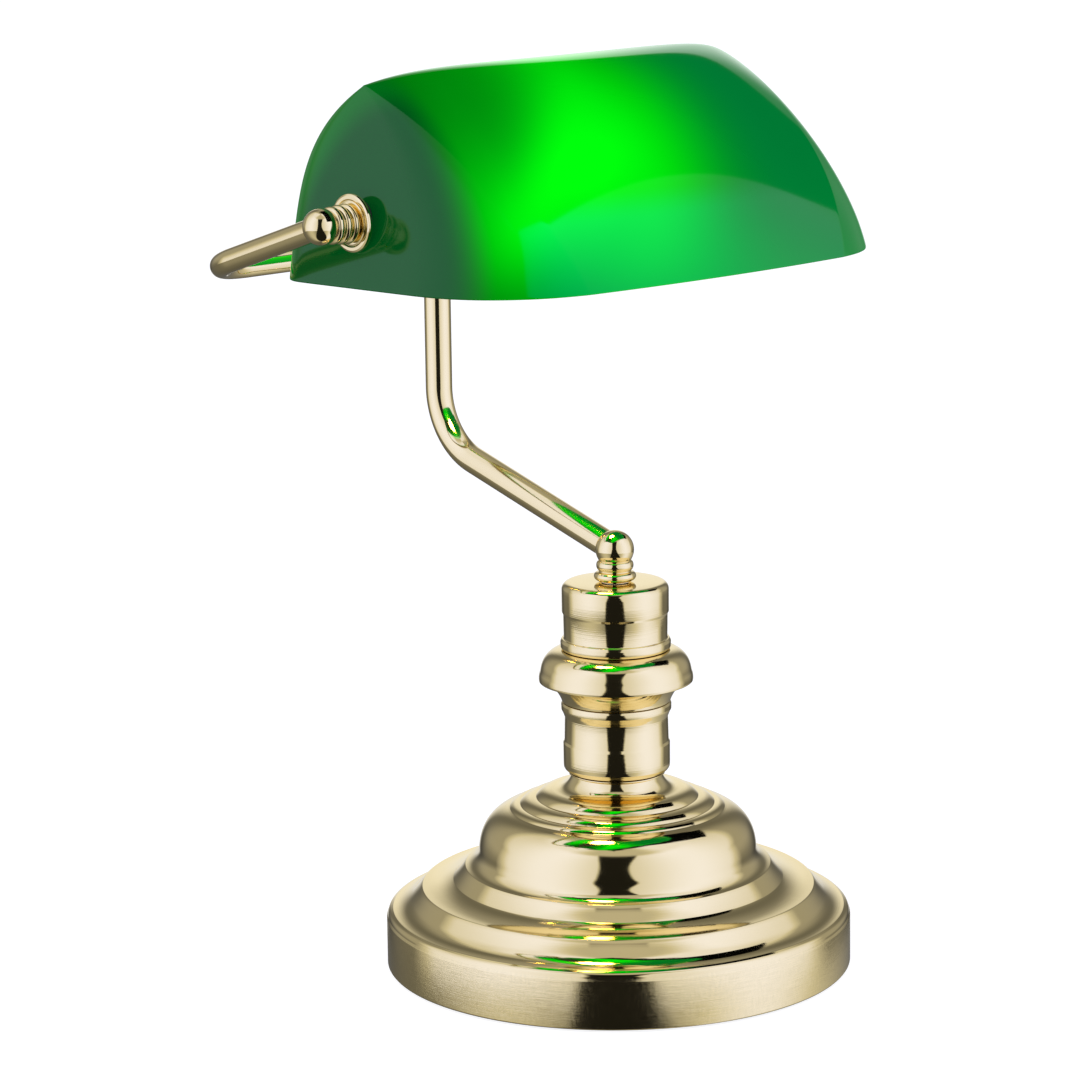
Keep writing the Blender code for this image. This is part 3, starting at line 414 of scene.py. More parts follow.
def make_materials():
    return {
        "base": brushed_rim("brass_base"),
        "spun": brass("brass_spun", rough=0.075, spun=0.8),
        "tube": brass("brass_tube", rough=0.085),
        "cast": brass("brass_cast", rough=0.07),
        "glass": shade_outside("green_glass_outside_painted_light"),
        "glass_inside": shade_inside("green_glass_inside_painted_light"),
        "steel": steel("zinc_steel"),
        "tungsten": steel("tungsten", (0.45, 0.38, 0.30), 0.40),
        "iron": matt("cast_iron", (0.06, 0.06, 0.06), (0.03, 0.03, 0.03), 0.75, 300.0, 0.6),
        "rubber": matt("black_rubber", (0.03, 0.03, 0.03), (0.015, 0.015, 0.015), 0.7, 500.0, 0.2),
        "felt": felt("black_felt"),
        "board": matt("fibreboard", (0.24, 0.16, 0.10), (0.14, 0.09, 0.05), 0.85, 250.0, 0.3),
        "black": matt("black_thermoset", (0.03, 0.03, 0.03), (0.018, 0.018, 0.018), 0.36, 240.0,
                      0.08),
        "ceramic": matt("white_ceramic", (0.86, 0.85, 0.81), (0.80, 0.79, 0.75), 0.25, 120.0, 0.05),
        "white": matt("white_plastic", (0.86, 0.86, 0.83), (0.80, 0.80, 0.77), 0.42, 200.0, 0.08),
        "sheath": matt("lead_sheath", (0.80, 0.80, 0.78), (0.72, 0.72, 0.70), 0.55, 300.0, 0.1),
        "bulb": glowing_bulb("frosted_bulb"),
        "clear": clear_glass("clear_glass"),
    }


# ---- Mesh helpers: profiles are lists of (radius, height) in millimetres -------------------


def arc(centre, radius, start, end, count):
    points = []
    for index in range(count + 1):
        turn = math.radians(start + (end - start) * index / count)
        points.append((centre[0] + radius * math.cos(turn), centre[1] + radius * math.sin(turn)))
    return points


def bulge(start, end, height, count=14):
    across = Vector((end[0] - start[0], end[1] - start[1]))
    outward = Vector((-across.y, across.x)).normalized()
    points = []
    for index in range(count + 1):
        along = index / count
        place = Vector(start) + across * along + outward * 4.0 * height * along * (1.0 - along)
        points.append((place.x, place.y))
    return points


def joined(*runs):
    profile = []
    for run in runs:
        for point in run:
            if not profile or (Vector(point) - Vector(profile[-1])).length > 0.02:
                profile.append(point)
    return profile


def eased(profile, radius, closed, least=14.0):
    """The profile with every corner sharper than least degrees rounded to a radius."""
    points = [Vector(point) for point in profile]
    count = len(points)
    result = []
    for index, corner in enumerate(points):
        if not closed and index in (0, count - 1):
            result.append(corner)
            continue
        before = corner - points[index - 1]
        after = points[(index + 1) % count] - corner
        turn = before.angle(after, 0.0)
        if turn < math.radians(least):
            result.append(corner)
            continue
        room = 0.45 * min(before.length, after.length)
        back = min(radius * math.tan(min(turn, 2.6) / 2.0), room)
        start = corner - before.normalized() * back
        end = corner + after.normalized() * back
        steps = max(2, int(math.degrees(turn) / EASE_STEP))
        for step in range(steps + 1):
            t = step / steps
            result.append(
                start * (1.0 - t) ** 2 + corner * 2.0 * t * (1.0 - t) + end * t ** 2)
    return [(point.x, point.y) for point in result]


def linked(name, data):
    made = bpy.data.objects.new(name, data)
    bpy.context.scene.collection.objects.link(made)
    return made


def finished(name, mesh, finish, body, nodes, sharp=38.0):
    """A new piece that rides on a body, stands for its CAD nodes and has its finish."""
    made = linked(name, mesh)
    mesh.materials.clear()
    for item in finish if isinstance(finish, (list, tuple)) else [finish]:
        mesh.materials.append(item)
    mesh.shade_smooth()
    mesh.set_sharp_from_angle(angle=math.radians(sharp))
    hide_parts(*nodes)
    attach(made, body)
    return made


def outward_mesh(name, shape):
    """The shape as a mesh whose faces look outward; the shape is used up."""
    bmesh.ops.recalc_face_normals(shape, faces=shape.faces)
    mesh = bpy.data.meshes.new(name)
    shape.to_mesh(mesh)
    shape.free()
    return mesh


def wrap(shape, loops):
    """Joins each loop of points to the next and the last to the first."""
    for first, second in zip(loops, loops[1:] + loops[:1]):
        for here in range(len(first)):
            there = (here + 1) % len(first)
            shape.faces.new([first[here], first[there], second[there], second[here]])


def turned_mesh(name, profile, steps=128, closed=True, frame_matrix=None):
    """Revolves a profile; a closed one is a loop round the axis, an open one ends on it."""
    shape = bmesh.new()
    rings = []
    for radius, height in profile:
        if radius < 0.005:
            rings.append([shape.verts.new((0.0, 0.0, height * MM))])
            continue
        ring = []
        for index in range(steps):
            turn = 2.0 * math.pi * index / steps
            ring.append(shape.verts.new(
                (radius * MM * math.cos(turn), radius * MM * math.sin(turn), height * MM)))
        rings.append(ring)
    pairs = list(zip(rings, rings[1:]))
    if closed:
        pairs.append((rings[-1], rings[0]))
    for first, second in pairs:
        for here in range(steps):
            there = (here + 1) % steps
            if len(first) == 1 and len(second) == 1:
                break
            if len(first) == 1:
                shape.faces.new([first[0], second[there], second[here]])
            elif len(second) == 1:
                shape.faces.new([first[here], first[there], second[0]])
            else:
                shape.faces.new([first[here], first[there], second[there], second[here]])
    if frame_matrix:
        bmesh.ops.transform(shape, matrix=frame_matrix, verts=shape.verts)
    return outward_mesh(name, shape)


def rest_tilt():
    """Matrix that turns the level shade about its pivots to where it rests."""
    return (
        Matrix.Translation(PIVOT * MM) @ Matrix.Rotation(REST_TILT, 4, "X")
        @ Matrix.Translation(-PIVOT * MM))


def along_x(side):
    """Matrix that lays a turned piece on the pivot axis, its height becoming side times X."""
    place = Matrix.Translation(PIVOT * MM)
    place.translation.x = 0.0
    return place @ Matrix.Rotation(side * math.pi / 2.0, 4, "Y")


def bent_path(points, bends, per_bend=24):
    path = [points[0]]
    for before, corner, after, bend in zip(points, points[1:], points[2:], bends):
        arrive = (corner - before).normalized()
        leave = (after - corner).normalized()
        turn = arrive.angle(leave)
        start = corner - arrive * bend * math.tan(turn / 2.0)
        inward = (leave - arrive * arrive.dot(leave)).normalized()
        centre = start + inward * bend
        for index in range(per_bend + 1):
            angle = turn * index / per_bend
            path.append(centre - inward * bend * math.cos(angle) + arrive * bend * math.sin(angle))
    path.append(points[-1])
    return path


def pipe_mesh(name, path, radius, bore, sides=56):
    """A hollow tube swept along a path, its ends closed by flat rings."""
    shape = bmesh.new()
    tangents = []
    for index in range(len(path)):
        before = path[max(index - 1, 0)]
        after = path[min(index + 1, len(path) - 1)]
        tangents.append((after - before).normalized())
    side = tangents[0].orthogonal().normalized()
    skins = {radius: [], bore: []}
    for place, tangent in zip(path, tangents):
        side = (side - tangent * side.dot(tangent)).normalized()
        up = tangent.cross(side)
        for reach, rings in skins.items():
            ring = []
            for index in range(sides):
                turn = 2.0 * math.pi * index / sides
                out = side * math.cos(turn) + up * math.sin(turn)
                ring.append(shape.verts.new((place + out * reach) * MM))
            rings.append(ring)
    wrap(shape, skins[radius] + skins[bore][::-1])
    return outward_mesh(name, shape)


def applied(holder):
    """The mesh of an object with its modifiers applied; the object is removed."""
    bpy.context.view_layer.update()
    mesh = bpy.data.meshes.new_from_object(
        holder.evaluated_get(bpy.context.evaluated_depsgraph_get()))
    bpy.data.objects.remove(holder)
    return mesh


def drilled(mesh, centre, direction, radius, depth):
    """The mesh with a round hole cut through it."""
    target = linked("target", mesh)
    profile = [(0.0, depth), (radius, depth), (radius, -depth), (0.0, -depth)]
    turn = Vector((0.0, 0.0, 1.0)).rotation_difference(direction).to_matrix().to_4x4()
    cutter_mesh = turned_mesh(
        "cutter", profile, 64, False, Matrix.Translation(Vector(centre) * MM) @ turn)
    cutter = linked("cutter", cutter_mesh)
    hole = target.modifiers.new("hole", "BOOLEAN")
    hole.operation = "DIFFERENCE"
    hole.object = cutter
    result = applied(target)
    bpy.data.objects.remove(cutter)
    return result


# ---- Base and column ----------------------------------------------------------------------


def base_profile():
    neck = [(ROD_HOLE, NECK_TOP), (18.4, NECK_TOP)]
    flare = bulge((18.6, 78.9), (26.0, 73.4), -1.6)
    beads = joined(
        bulge((26.0, 73.4), (33.2, 69.8), 0.9),
        bulge((33.2, 69.8), (39.8, 67.0), 0.8),
        bulge((39.8, 67.0), (44.0, 65.4), 0.5, 8),
    )
    dome = bulge((44.0, 65.4), (56.8, 49.4), 3.4, 24)
    foot = bulge((56.8, 49.4), (62.6, 41.7), -1.9, 12)
    first_step = joined(
        bulge((62.9, 41.4), (67.6, 35.9), -0.15, 6), bulge((67.6, 35.9), (80.3, 33.0), -0.7, 12))
    second_step = joined(
        bulge((80.8, 32.6), (85.2, 27.4), -0.1, 6), bulge((85.2, 27.4), (92.6, 24.2), -0.6, 12))
    rim_roll = bulge((92.9, 24.0), (94.7, RIM_TOP), 0.5, 8)
    rim = [(BASE_RADIUS, RIM_TOP - 1.0), (BASE_RADIUS, 1.2), (BASE_RADIUS - 0.6, 0.5)]
    inside = [
        (93.4, 0.5), (93.2, 20.2), (91.9, 22.5), (88.2, 23.9), (84.3, 26.4), (79.9, 31.7),
        (73.5, 32.4), (66.9, 34.8), (62.0, 40.3), (57.2, 43.6), (55.4, 49.0), (51.5, 57.0),
        (45.0, 63.2), (26.0, 71.4), (21.0, 72.6), (17.4, 76.0), (17.0, 78.2),
        (ROD_HOLE, 78.2),
    ]
    return joined(neck, flare, beads, dome, foot, first_step, second_step, rim_roll, rim, inside)


def cup_profile(closed_end, open_end):
    away = 1.0 if open_end > closed_end else -1.0
    length = abs(open_end - closed_end)
    outer = [
        (ROD_HOLE, 0.0), (CUP_RADIUS - 3.0, 0.0),
        *arc((CUP_RADIUS - 3.0, 3.0), 3.0, -80.0, -10.0, 8),
        (CUP_RADIUS, 4.0), (CUP_RADIUS, 12.0), (CUP_RADIUS - 0.5, 13.0),
        (CUP_RADIUS - 0.7, 23.0), (CUP_RADIUS + 0.1, length - 4.2),
        (CUP_RADIUS + 0.7, length - 3.0), (CUP_RADIUS + 0.7, length - 1.0),
        (CUP_RADIUS + 0.3, length),
    ]
    wall = CUP_RADIUS - 2.2
    inner = [(wall, length), (wall, 2.6), (wall - 1.8, 1.2), (ROD_HOLE, 1.2)]
    return [(radius, closed_end + away * height) for radius, height in outer + inner]


def build_column(finish):
    shell = turned_mesh("base_shell-fine", eased(base_profile(), 0.5, True), 256)
    shell = drilled(shell, (0.0, 94.0, GLAND_HEIGHT), Vector((0.0, 1.0, 0.0)), 5.0, 8.0)
    finished("base_shell-fine", shell, finish["base"], "lamp", ["base_shell"])
    pad = turned_mesh(
        "felt_pad-fine", eased([(0.0, 0.0), (92.4, 0.0), (92.4, 1.6), (0.0, 1.6)], 0.5, False),
        192, False)
    finished("felt_pad-fine", pad, finish["felt"], "lamp", ["felt_pad"])
    gland = [
        (3.3, 2.8), (5.2, 2.8), (6.6, 1.8), (7.2, 0.3), (4.7, 0.3), (4.7, -2.5), (6.4, -2.5),
        (5.4, -4.6), (3.3, -4.6),
    ]
    lay = Matrix.Translation((0.0, (BASE_RADIUS - 0.1) * MM, GLAND_HEIGHT * MM))
    gland = turned_mesh(
        "cable_gland-fine", eased(gland, 0.5, True), 64, True,
        lay @ Matrix.Rotation(-math.pi / 2.0, 4, "X"))
    finished("cable_gland-fine", gland, finish["rubber"], "lamp", ["cable_gland"])

    turned_parts = {
        "neck_ring": ([(ROD_HOLE, 79.7), (19.7, 79.7), (19.7, 80.3), (ROD_HOLE, 80.3)], 0.25),
        "lower_cup": (cup_profile(*LOWER_CUP), 0.45),
        "upper_cup": (cup_profile(UPPER_CUP[1], UPPER_CUP[0]), 0.45),
        "skirt_bell": (skirt_profile(), 0.35),
        "waist_cup": (waist_profile(), 0.3),
    }
    for node, (profile, radius) in turned_parts.items():
        mesh = turned_mesh(f"{node}-fine", eased(profile, radius, True), 160)
        finished(f"{node}-fine", mesh, finish["spun"], "lamp", [node])


def skirt_profile():
    top = UPPER_CUP[0] - 0.3
    return joined(
        [(ROD_HOLE, top), (22.6, top)],
        bulge((22.6, top), (SKIRT_RADIUS - 0.6, 122.6), 2.2, 18),
        bulge((SKIRT_RADIUS - 0.6, 122.6), (SKIRT_RADIUS, SKIRT_EDGE), 0.3, 5),
        [(SKIRT_RADIUS - 1.2, SKIRT_EDGE), (SKIRT_RADIUS - 2.2, 122.8), (26.0, 128.4),
         (22.0, top - 1.2), (ROD_HOLE, top - 1.2)],
    )


def waist_profile():
    bottom = LOWER_CUP[1] + 0.3
    rim = 29.2
    return joined(
        [(rim, SKIRT_EDGE + 1.6)],
        bulge((rim, SKIRT_EDGE + 0.8), (22.4, bottom + 0.8), -0.8, 12),
        [(22.2, bottom), (ROD_HOLE, bottom), (ROD_HOLE, bottom + 1.2), (21.6, bottom + 1.2),
         (rim - 1.4, SKIRT_EDGE + 1.6)],
    )


# ---- Ball fittings, stem and yoke ----------------------------------------------------------


def fitting_profile(ball, waist, swells, neck_foot):
    """A ball on a ribbed neck that points down; heights are from the ball's centre."""
    meet = math.degrees(math.acos(waist / ball))
    profile = [(0.0, ball)] + arc((0.0, 0.0), ball, 86.0, -meet, 30)
    top = profile[-1][1]
    pitch = (top - neck_foot) / len(swells)
    for index, swell in enumerate(swells):
        start = top - pitch * index
        middle = start - 0.5 * pitch
        profile.append((waist - 0.1, start - 0.05 * pitch))
        for turn in range(-70, 71, 20):
            lift = math.cos(math.radians(turn))
            profile.append((
                waist + (swell - waist) * lift,
                middle + 0.42 * pitch * math.sin(math.radians(-turn))))
        profile.append((waist - 0.1, start - 0.95 * pitch))
    profile += [
        (waist, neck_foot), (ROD_HOLE, neck_foot), (ROD_HOLE, -4.6), (3.3, -4.6), (3.3, 0.6),
        (0.0, 0.6),
    ]
    return profile


def build_fittings(finish):
    neck_foot = UPPER_CUP[1] + 0.3 - STEM_FOOT.z
    profile = eased(fitting_profile(7.85, 6.6, (7.6, 8.6), neck_foot), 0.25, False, 25.0)
    mesh = turned_mesh(
        "stem_elbow-fine", profile, 96, False, Matrix.Translation(STEM_FOOT * MM))
    finished("stem_elbow-fine", mesh, finish["cast"], "lamp", ["stem_elbow"])
    profile = eased(
        fitting_profile(7.2, 6.3, (7.4, 7.7, 7.9), 111.5 - ARM_OUT), 0.25, False, 25.0)
    for side, label in SIDES.items():
        place = along_x(side) @ Matrix.Translation((0.0, 0.0, ARM_OUT * MM))
        mesh = turned_mesh(f"pivot_elbow_{label}-fine", profile, 96, False, place)
        finished(
            f"pivot_elbow_{label}-fine", mesh, finish["cast"], "lamp",
            [f"pivot_elbow_{label}"])


def build_tubes(finish):
    corner = STEM_FOOT + STEM_REACH * (STEM_BACK / STEM_REACH.y)
    top = Vector((0.0, STEM_BACK, YOKE_HEIGHT - 3.4))
    path = bent_path([STEM_FOOT + STEM_REACH * 2.6, corner, top], [30.0], 40)
    mesh = pipe_mesh("stem_tube-fine", path, STEM_RADIUS, 4.5)
    finished("stem_tube-fine", mesh, finish["tube"], "lamp", ["stem_tube"])
    down = (Vector((0.0, STEM_BACK, YOKE_HEIGHT)) - PIVOT).normalized()
    for side, label in SIDES.items():
        start = Vector((side * 5.9, STEM_BACK, YOKE_HEIGHT))
        corner = Vector((side * ARM_OUT, STEM_BACK, YOKE_HEIGHT))
        end = Vector((side * ARM_OUT, PIVOT.y, PIVOT.z)) + down * 2.4
        mesh = pipe_mesh(
            f"yoke_arm_{label}-fine", bent_path([start, corner, end], [25.0], 36), YOKE_RADIUS,
            3.7)
        finished(
            f"yoke_arm_{label}-fine", mesh, finish["tube"], "lamp",
            [f"yoke_arm_{label}"])
    ball = [(0.0, 8.6)] + arc((0.0, 0.0), 8.6, 84.0, -84.0, 40) + [(0.0, -8.6)]
    mesh = turned_mesh(
        "yoke_tee-fine", ball, 96, False,
        Matrix.Translation(Vector((0.0, STEM_BACK, YOKE_HEIGHT)) * MM))
    finished("yoke_tee-fine", mesh, finish["cast"], "lamp", ["yoke_tee"])


def hex_nut_mesh(name, bottom, top, matrix):
    """A hexagonal nut with chamfered corners and a round hole."""
    shape = bmesh.new()
    sides = 48
    loops = []
    rows = (
        (ROD_HOLE, bottom), (6.6, bottom), (7.6, bottom + 0.5), (9.0, bottom + 1.1),
        (9.0, top - 1.1), (7.6, top - 0.5), (6.6, top), (ROD_HOLE, top),
    )
    for radius, height in rows:
        ring = []
        for index in range(sides):
            turn = 2.0 * math.pi * index / sides
            flat = 7.0 / math.cos((turn + math.pi / 6.0) % (math.pi / 3.0) - math.pi / 6.0)
            reach = min(radius, flat) * MM
            ring.append(shape.verts.new(
                (reach * math.cos(turn), reach * math.sin(turn), height * MM)))
        loops.append(ring)
    wrap(shape, loops)
    bmesh.ops.transform(shape, matrix=matrix, verts=shape.verts)
    return outward_mesh(name, shape)


def build_pivots(finish):
    lean = math.atan(END_LEAN)
    for side, label in SIDES.items():
        flange = [
            (ROD_HOLE, 111.2), (8.2, 111.2), (8.8, 111.0), (9.4, 111.2), (10.6, 111.2),
            (11.3, 110.9), (11.5, 110.3), (11.5, 109.4), (ROD_HOLE, 109.4),
        ]
        mesh = turned_mesh(
            f"flange_washer_{label}-fine", eased(flange, 0.25, True), 96, True, along_x(side))
        finished(
            f"flange_washer_{label}-fine", mesh, finish["cast"], "lamp",
            [f"flange_washer_{label}"])
        washer = [(ROD_HOLE, 98.5), (9.0, 98.5), (9.0, 99.7), (ROD_HOLE, 99.7)]
        mesh = turned_mesh(
            f"steel_washer_{label}-fine", eased(washer, 0.3, True), 80, True, along_x(side))
        finished(
            f"steel_washer_{label}-fine", mesh, finish["steel"], "lamp",
            [f"steel_washer_{label}"])
        mesh = hex_nut_mesh(f"pivot_nut_{label}-fine", 94.2, 98.2, along_x(side))
        finished(
            f"pivot_nut_{label}-fine", mesh, finish["steel"], "lamp",
            [f"pivot_nut_{label}"])
        inner_end = {-1: 85.0, 1: 92.0}[side]
        thread = [(3.3, inner_end)]
        for index in range(int((NIPPLE_END - inner_end) / PITCH)):
            start = inner_end + 0.2 + index * PITCH
            thread += [(4.55, start), (5.0, start + 0.5 * PITCH)]
        thread += [(4.55, NIPPLE_END), (3.3, NIPPLE_END)]
        mesh = turned_mesh(f"pivot_nipple_{label}-fine", thread, 48, True, along_x(side))
        finished(
            f"pivot_nipple_{label}-fine", mesh, finish["steel"], "lamp",
            [f"pivot_nipple_{label}"], 60.0)
        face = HALF_LENGTH - END_LEAN * (PIVOT.z - RIM)
        for place, gap, flat_end in (("outer", 0.25, 109.1), ("inner", -GLASS - 0.25, 100.0)):
            name = f"{place}_rubber_washer_{label}"
            mesh = wedge_washer(
                f"{name}-fine", WASHER_RADII, flat_end, face + gap / math.cos(lean), side)
            mesh.transform(rest_tilt())
            finished(f"{name}-fine", mesh, finish["rubber"], "shade", [name])


def wedge_washer(name, radii, flat_end, face, side, sides=64):
    """A rubber ring, flat on one side and cut to the leaning end of the glass on the other."""
    shape = bmesh.new()
    loops = []
    inner, inner_round, outer_round, outer = radii
    direction = 1.0 if face > flat_end else -1.0
    corner = 0.35
    rows = (
        (inner, flat_end + corner * direction, 0), (inner_round, flat_end, 0),
        (outer_round, flat_end, 0), (outer, flat_end + corner * direction, 0),
        (outer, face - corner * direction, 1), (outer_round, face, 1),
        (inner_round, face, 1), (inner, face - corner * direction, 1),
    )
    for radius, out, leaning in rows:
        ring = []
        for index in range(sides):
            turn = 2.0 * math.pi * index / sides
            y = radius * math.cos(turn)
            z = radius * math.sin(turn)
            x = out - (END_LEAN * z if leaning else 0.0)
            ring.append(shape.verts.new(
                (side * x * MM, (PIVOT.y + y) * MM, (PIVOT.z + z) * MM)))
        loops.append(ring)
    wrap(shape, loops)
    return outward_mesh(name, shape)


# ---- Shade --------------------------------------------------------------------------------


def fall(level, outer_power, inner_power):
    return (1.0 - level ** outer_power) ** inner_power


def outline(level, wall, run, corner):
    """One row of the glass, as a closed loop; level is 0 at the rim and 1 at the crest."""
    half = HALF_LENGTH - wall - END_LEAN * level * (CREST_ENDS - wall)
    front_mid = CREST_Y - (FRONT_REACH - wall) * fall(level, 1.4, 0.5)
    back_mid = CREST_Y + (BACK_REACH - wall) * fall(level, 6.0, 0.5)
    front_end = CREST_ENDS_Y - (FRONT_CORNER_REACH - wall) * fall(level, 1.3, 0.833)
    back_end = CREST_ENDS_Y + (BACK_CORNER_REACH - wall) * fall(level, 3.5, 1.0)
    room = 0.45 * (back_end - front_end)
    front_round = min(2.0 + (40.0 - wall) * (1.0 - level), room)
    back_round = min(1.0 + (14.0 - wall) * (1.0 - level ** 2), room)

    def front_y(x):
        return front_end + (front_mid - front_end) * (1.0 - (x / half) ** 2)

    def back_y(x):
        return back_end + (back_mid - back_end) * (1.0 - (x / half) ** 2)

    def rounded(start, first, second, end):
        points = []
        for index in range(1, corner):
            t = index / corner
            s = 1.0 - t
            points.append(
                start * s ** 3 + first * 3.0 * s * s * t + second * 3.0 * s * t * t
                + end * t ** 3)
        return points

    loop = []
    turn_in = half - front_round
    for index in range(run + 1):
        x = turn_in * math.sin(math.pi * (index / run - 0.5))
        loop.append(Vector((x, front_y(x))))
    slope = 2.0 * (front_end - front_mid) * turn_in / half ** 2
    start = loop[-1]
    end = Vector((half, front_end + front_round))
    loop += rounded(
        start, start + Vector((1.0, slope)) * CURVE_HOLD * front_round,
        end - Vector((0.0, 1.0)) * CURVE_HOLD * front_round, end)
    far = Vector((half, back_end - back_round))
    along = 6
    loop += [end.lerp(far, index / along) for index in range(along + 1)]
    turn_in = half - back_round
    start = Vector((turn_in, back_y(turn_in)))
    loop += rounded(
        far, far + Vector((0.0, 1.0)) * CURVE_HOLD * back_round,
        start + Vector((1.0, 0.0)) * CURVE_HOLD * back_round, start)
    right_side = loop[run + 1:]
    for index in range(run + 1):
        x = turn_in * math.sin(math.pi * (0.5 - index / run))
        loop.append(Vector((x, back_y(x))))
    loop += [Vector((-point.x, point.y)) for point in reversed(right_side)]
    result = []
    for point in loop:
        across = min(abs(point.x) / half, 1.0) ** CREST_DROP_POWER
        height = RIM + level * (CREST - wall - (CREST - CREST_ENDS) * across)
        result.append(Vector((point.x, point.y, height)))
    return result


def build_shade(finish):
    """Cased glass trough with a fire-polished rim and a hole at each pivot."""
    rows, run, corner = 12, 16, 5
    shape = bmesh.new()
    skins = []
    for wall in (0.0, GLASS):
        levels = [0.0, 0.012] + [
            math.sin(math.pi / 2.0 * index / rows) for index in range(1, rows + 1)]
        previous = None
        skin = []
        for level in levels:
            ring = [shape.verts.new(place * MM) for place in outline(level, wall, run, corner)]
            skin.append(ring)
            if previous:
                for here in range(len(ring)):
                    there = (here + 1) % len(ring)
                    face = [previous[here], previous[there], ring[there], ring[here]]
                    made = shape.faces.new(face if wall == 0.0 else face[::-1])
                    made.material_index = 0 if wall == 0.0 else 1
            previous = ring
        skins.append(skin)
    outer, inner = skins[0][0], skins[1][0]
    for here in range(len(outer)):
        there = (here + 1) % len(outer)
        shape.faces.new([outer[there], outer[here], inner[here], inner[there]])
    bmesh.ops.remove_doubles(shape, verts=shape.verts, dist=0.00002)
    mesh = bpy.data.meshes.new("shade_glass-fine")
    shape.to_mesh(mesh)
    shape.free()
    cage = linked("cage", mesh)
    smoother = cage.modifiers.new("smooth", "SUBSURF")
    smoother.levels = smoother.render_levels = 2
    mesh = applied(cage)
    for side in SIDES:
        mesh = drilled(
            mesh, (side * 108.0, PIVOT.y, PIVOT.z), Vector((1.0, 0.0, 0.0)), 5.8, 12.0)
    mesh.transform(rest_tilt())
    finished(
        "shade_glass-fine", mesh, [finish["glass"], finish["glass_inside"]], "shade",
        ["shade_glass"], 50.0)


# ---- Lampholder and bulb -------------------------------------------------------------------


def build_lampholder(finish):
    cap = [
        (19.5, -78.0), (19.5, -82.0), (17.1, -87.0), (12.0, -90.4), (8.6, -91.4), (8.0, -93.9),
        (ROD_HOLE, -93.9), (ROD_HOLE, -87.4), (11.0, -87.4), (16.6, -83.0), (16.6, -78.0),
    ]
    mesh = turned_mesh("holder_cap-fine", eased(cap, 1.0, True), 96, True, along_x(1))
    finished("holder_cap-fine", mesh, finish["black"], "lamp", ["holder_cap"])
    outer = [(18.7, -47.0), (19.5, -47.8)]
    for index in range(7):
        groove = -50.0 - index * 3.2
        outer += [(19.5, groove), (19.0, groove - 0.5), (19.0, groove - 1.1), (19.5, groove - 1.6)]
    body = outer + [(19.5, -77.7), (16.2, -77.7), (16.2, -48.0), (15.4, -47.0)]
    mesh = turned_mesh("holder_body-fine", eased(body, 0.3, True), 96, True, along_x(1))
    finished("holder_body-fine", mesh, finish["black"], "lamp", ["holder_body"])
    outside = [(0.0, 8.5)] + arc((0.0, -14.0), 22.5, 86.0, -42.0, 36)
    outside += [(13.6, -34.5), (12.9, -38.5), (12.4, -45.5)]
    inside = [(11.4, -45.5), (11.9, -38.1), (12.6, -34.2)]
    inside += arc((0.0, -14.0), 21.5, -42.0, 86.0, 30) + [(0.0, 7.5)]
    mesh = turned_mesh(
        "bulb_glass-fine", eased(outside + inside, 3.0, False, 8.0), 96, False, along_x(1))
    finished("bulb_glass-fine", mesh, finish["bulb"], "lamp", ["bulb_glass"])
    thread = [(13.1, -45.8), (12.7, -46.6)]
    for index in range(4):
        start = -47.2 - index * 3.6
        thread += [(12.55, start), (13.1, start - 1.0), (13.1, start - 1.8), (12.55, start - 2.8)]
    thread += [(13.0, -62.5), (13.0, -64.4), (10.0, -66.7), (9.4, -66.7), (12.2, -64.1)]
    thread += [(12.2, -46.2)]
    mesh = turned_mesh("bulb_cap-fine", eased(thread, 0.5, True), 96, True, along_x(1))
    finished("bulb_cap-fine", mesh, finish["steel"], "lamp", ["bulb_cap"])


CARRIED = {
    "base_weight": "iron",
    "bottom_plate": "board",
    "plate_screw_1": "steel",
    "plate_screw_2": "steel",
    "plate_screw_3": "steel",
    "terminal_block": "white",
    "terminal_screw_1": "cast",
    "terminal_screw_2": "cast",
    "terminal_screw_3": "cast",
    "threaded_rod": "steel",
    "rod_washer": "steel",
    "rod_nut": "steel",
    "holder_insert": "ceramic",
    "centre_contact": "cast",
    "socket_screw_shell": "cast",
    "bulb_contact": "steel",
    "bulb_insulator": "black",
    "bulb_mount": "clear",
    "filament": "tungsten",
    "filament_support_1": "steel",
    "filament_support_2": "steel",
    "supply_lead": "sheath",
}


def carry_over(finish):
    for node, key in CARRIED.items():
        piece = NODES[node]
        if not piece.material_slots:
            piece.data.materials.append(finish[key])
        for slot in piece.material_slots:
            slot.link = "OBJECT"
            slot.material = finish[key]


# ---- Light, floor and camera ---------------------------------------------------------------


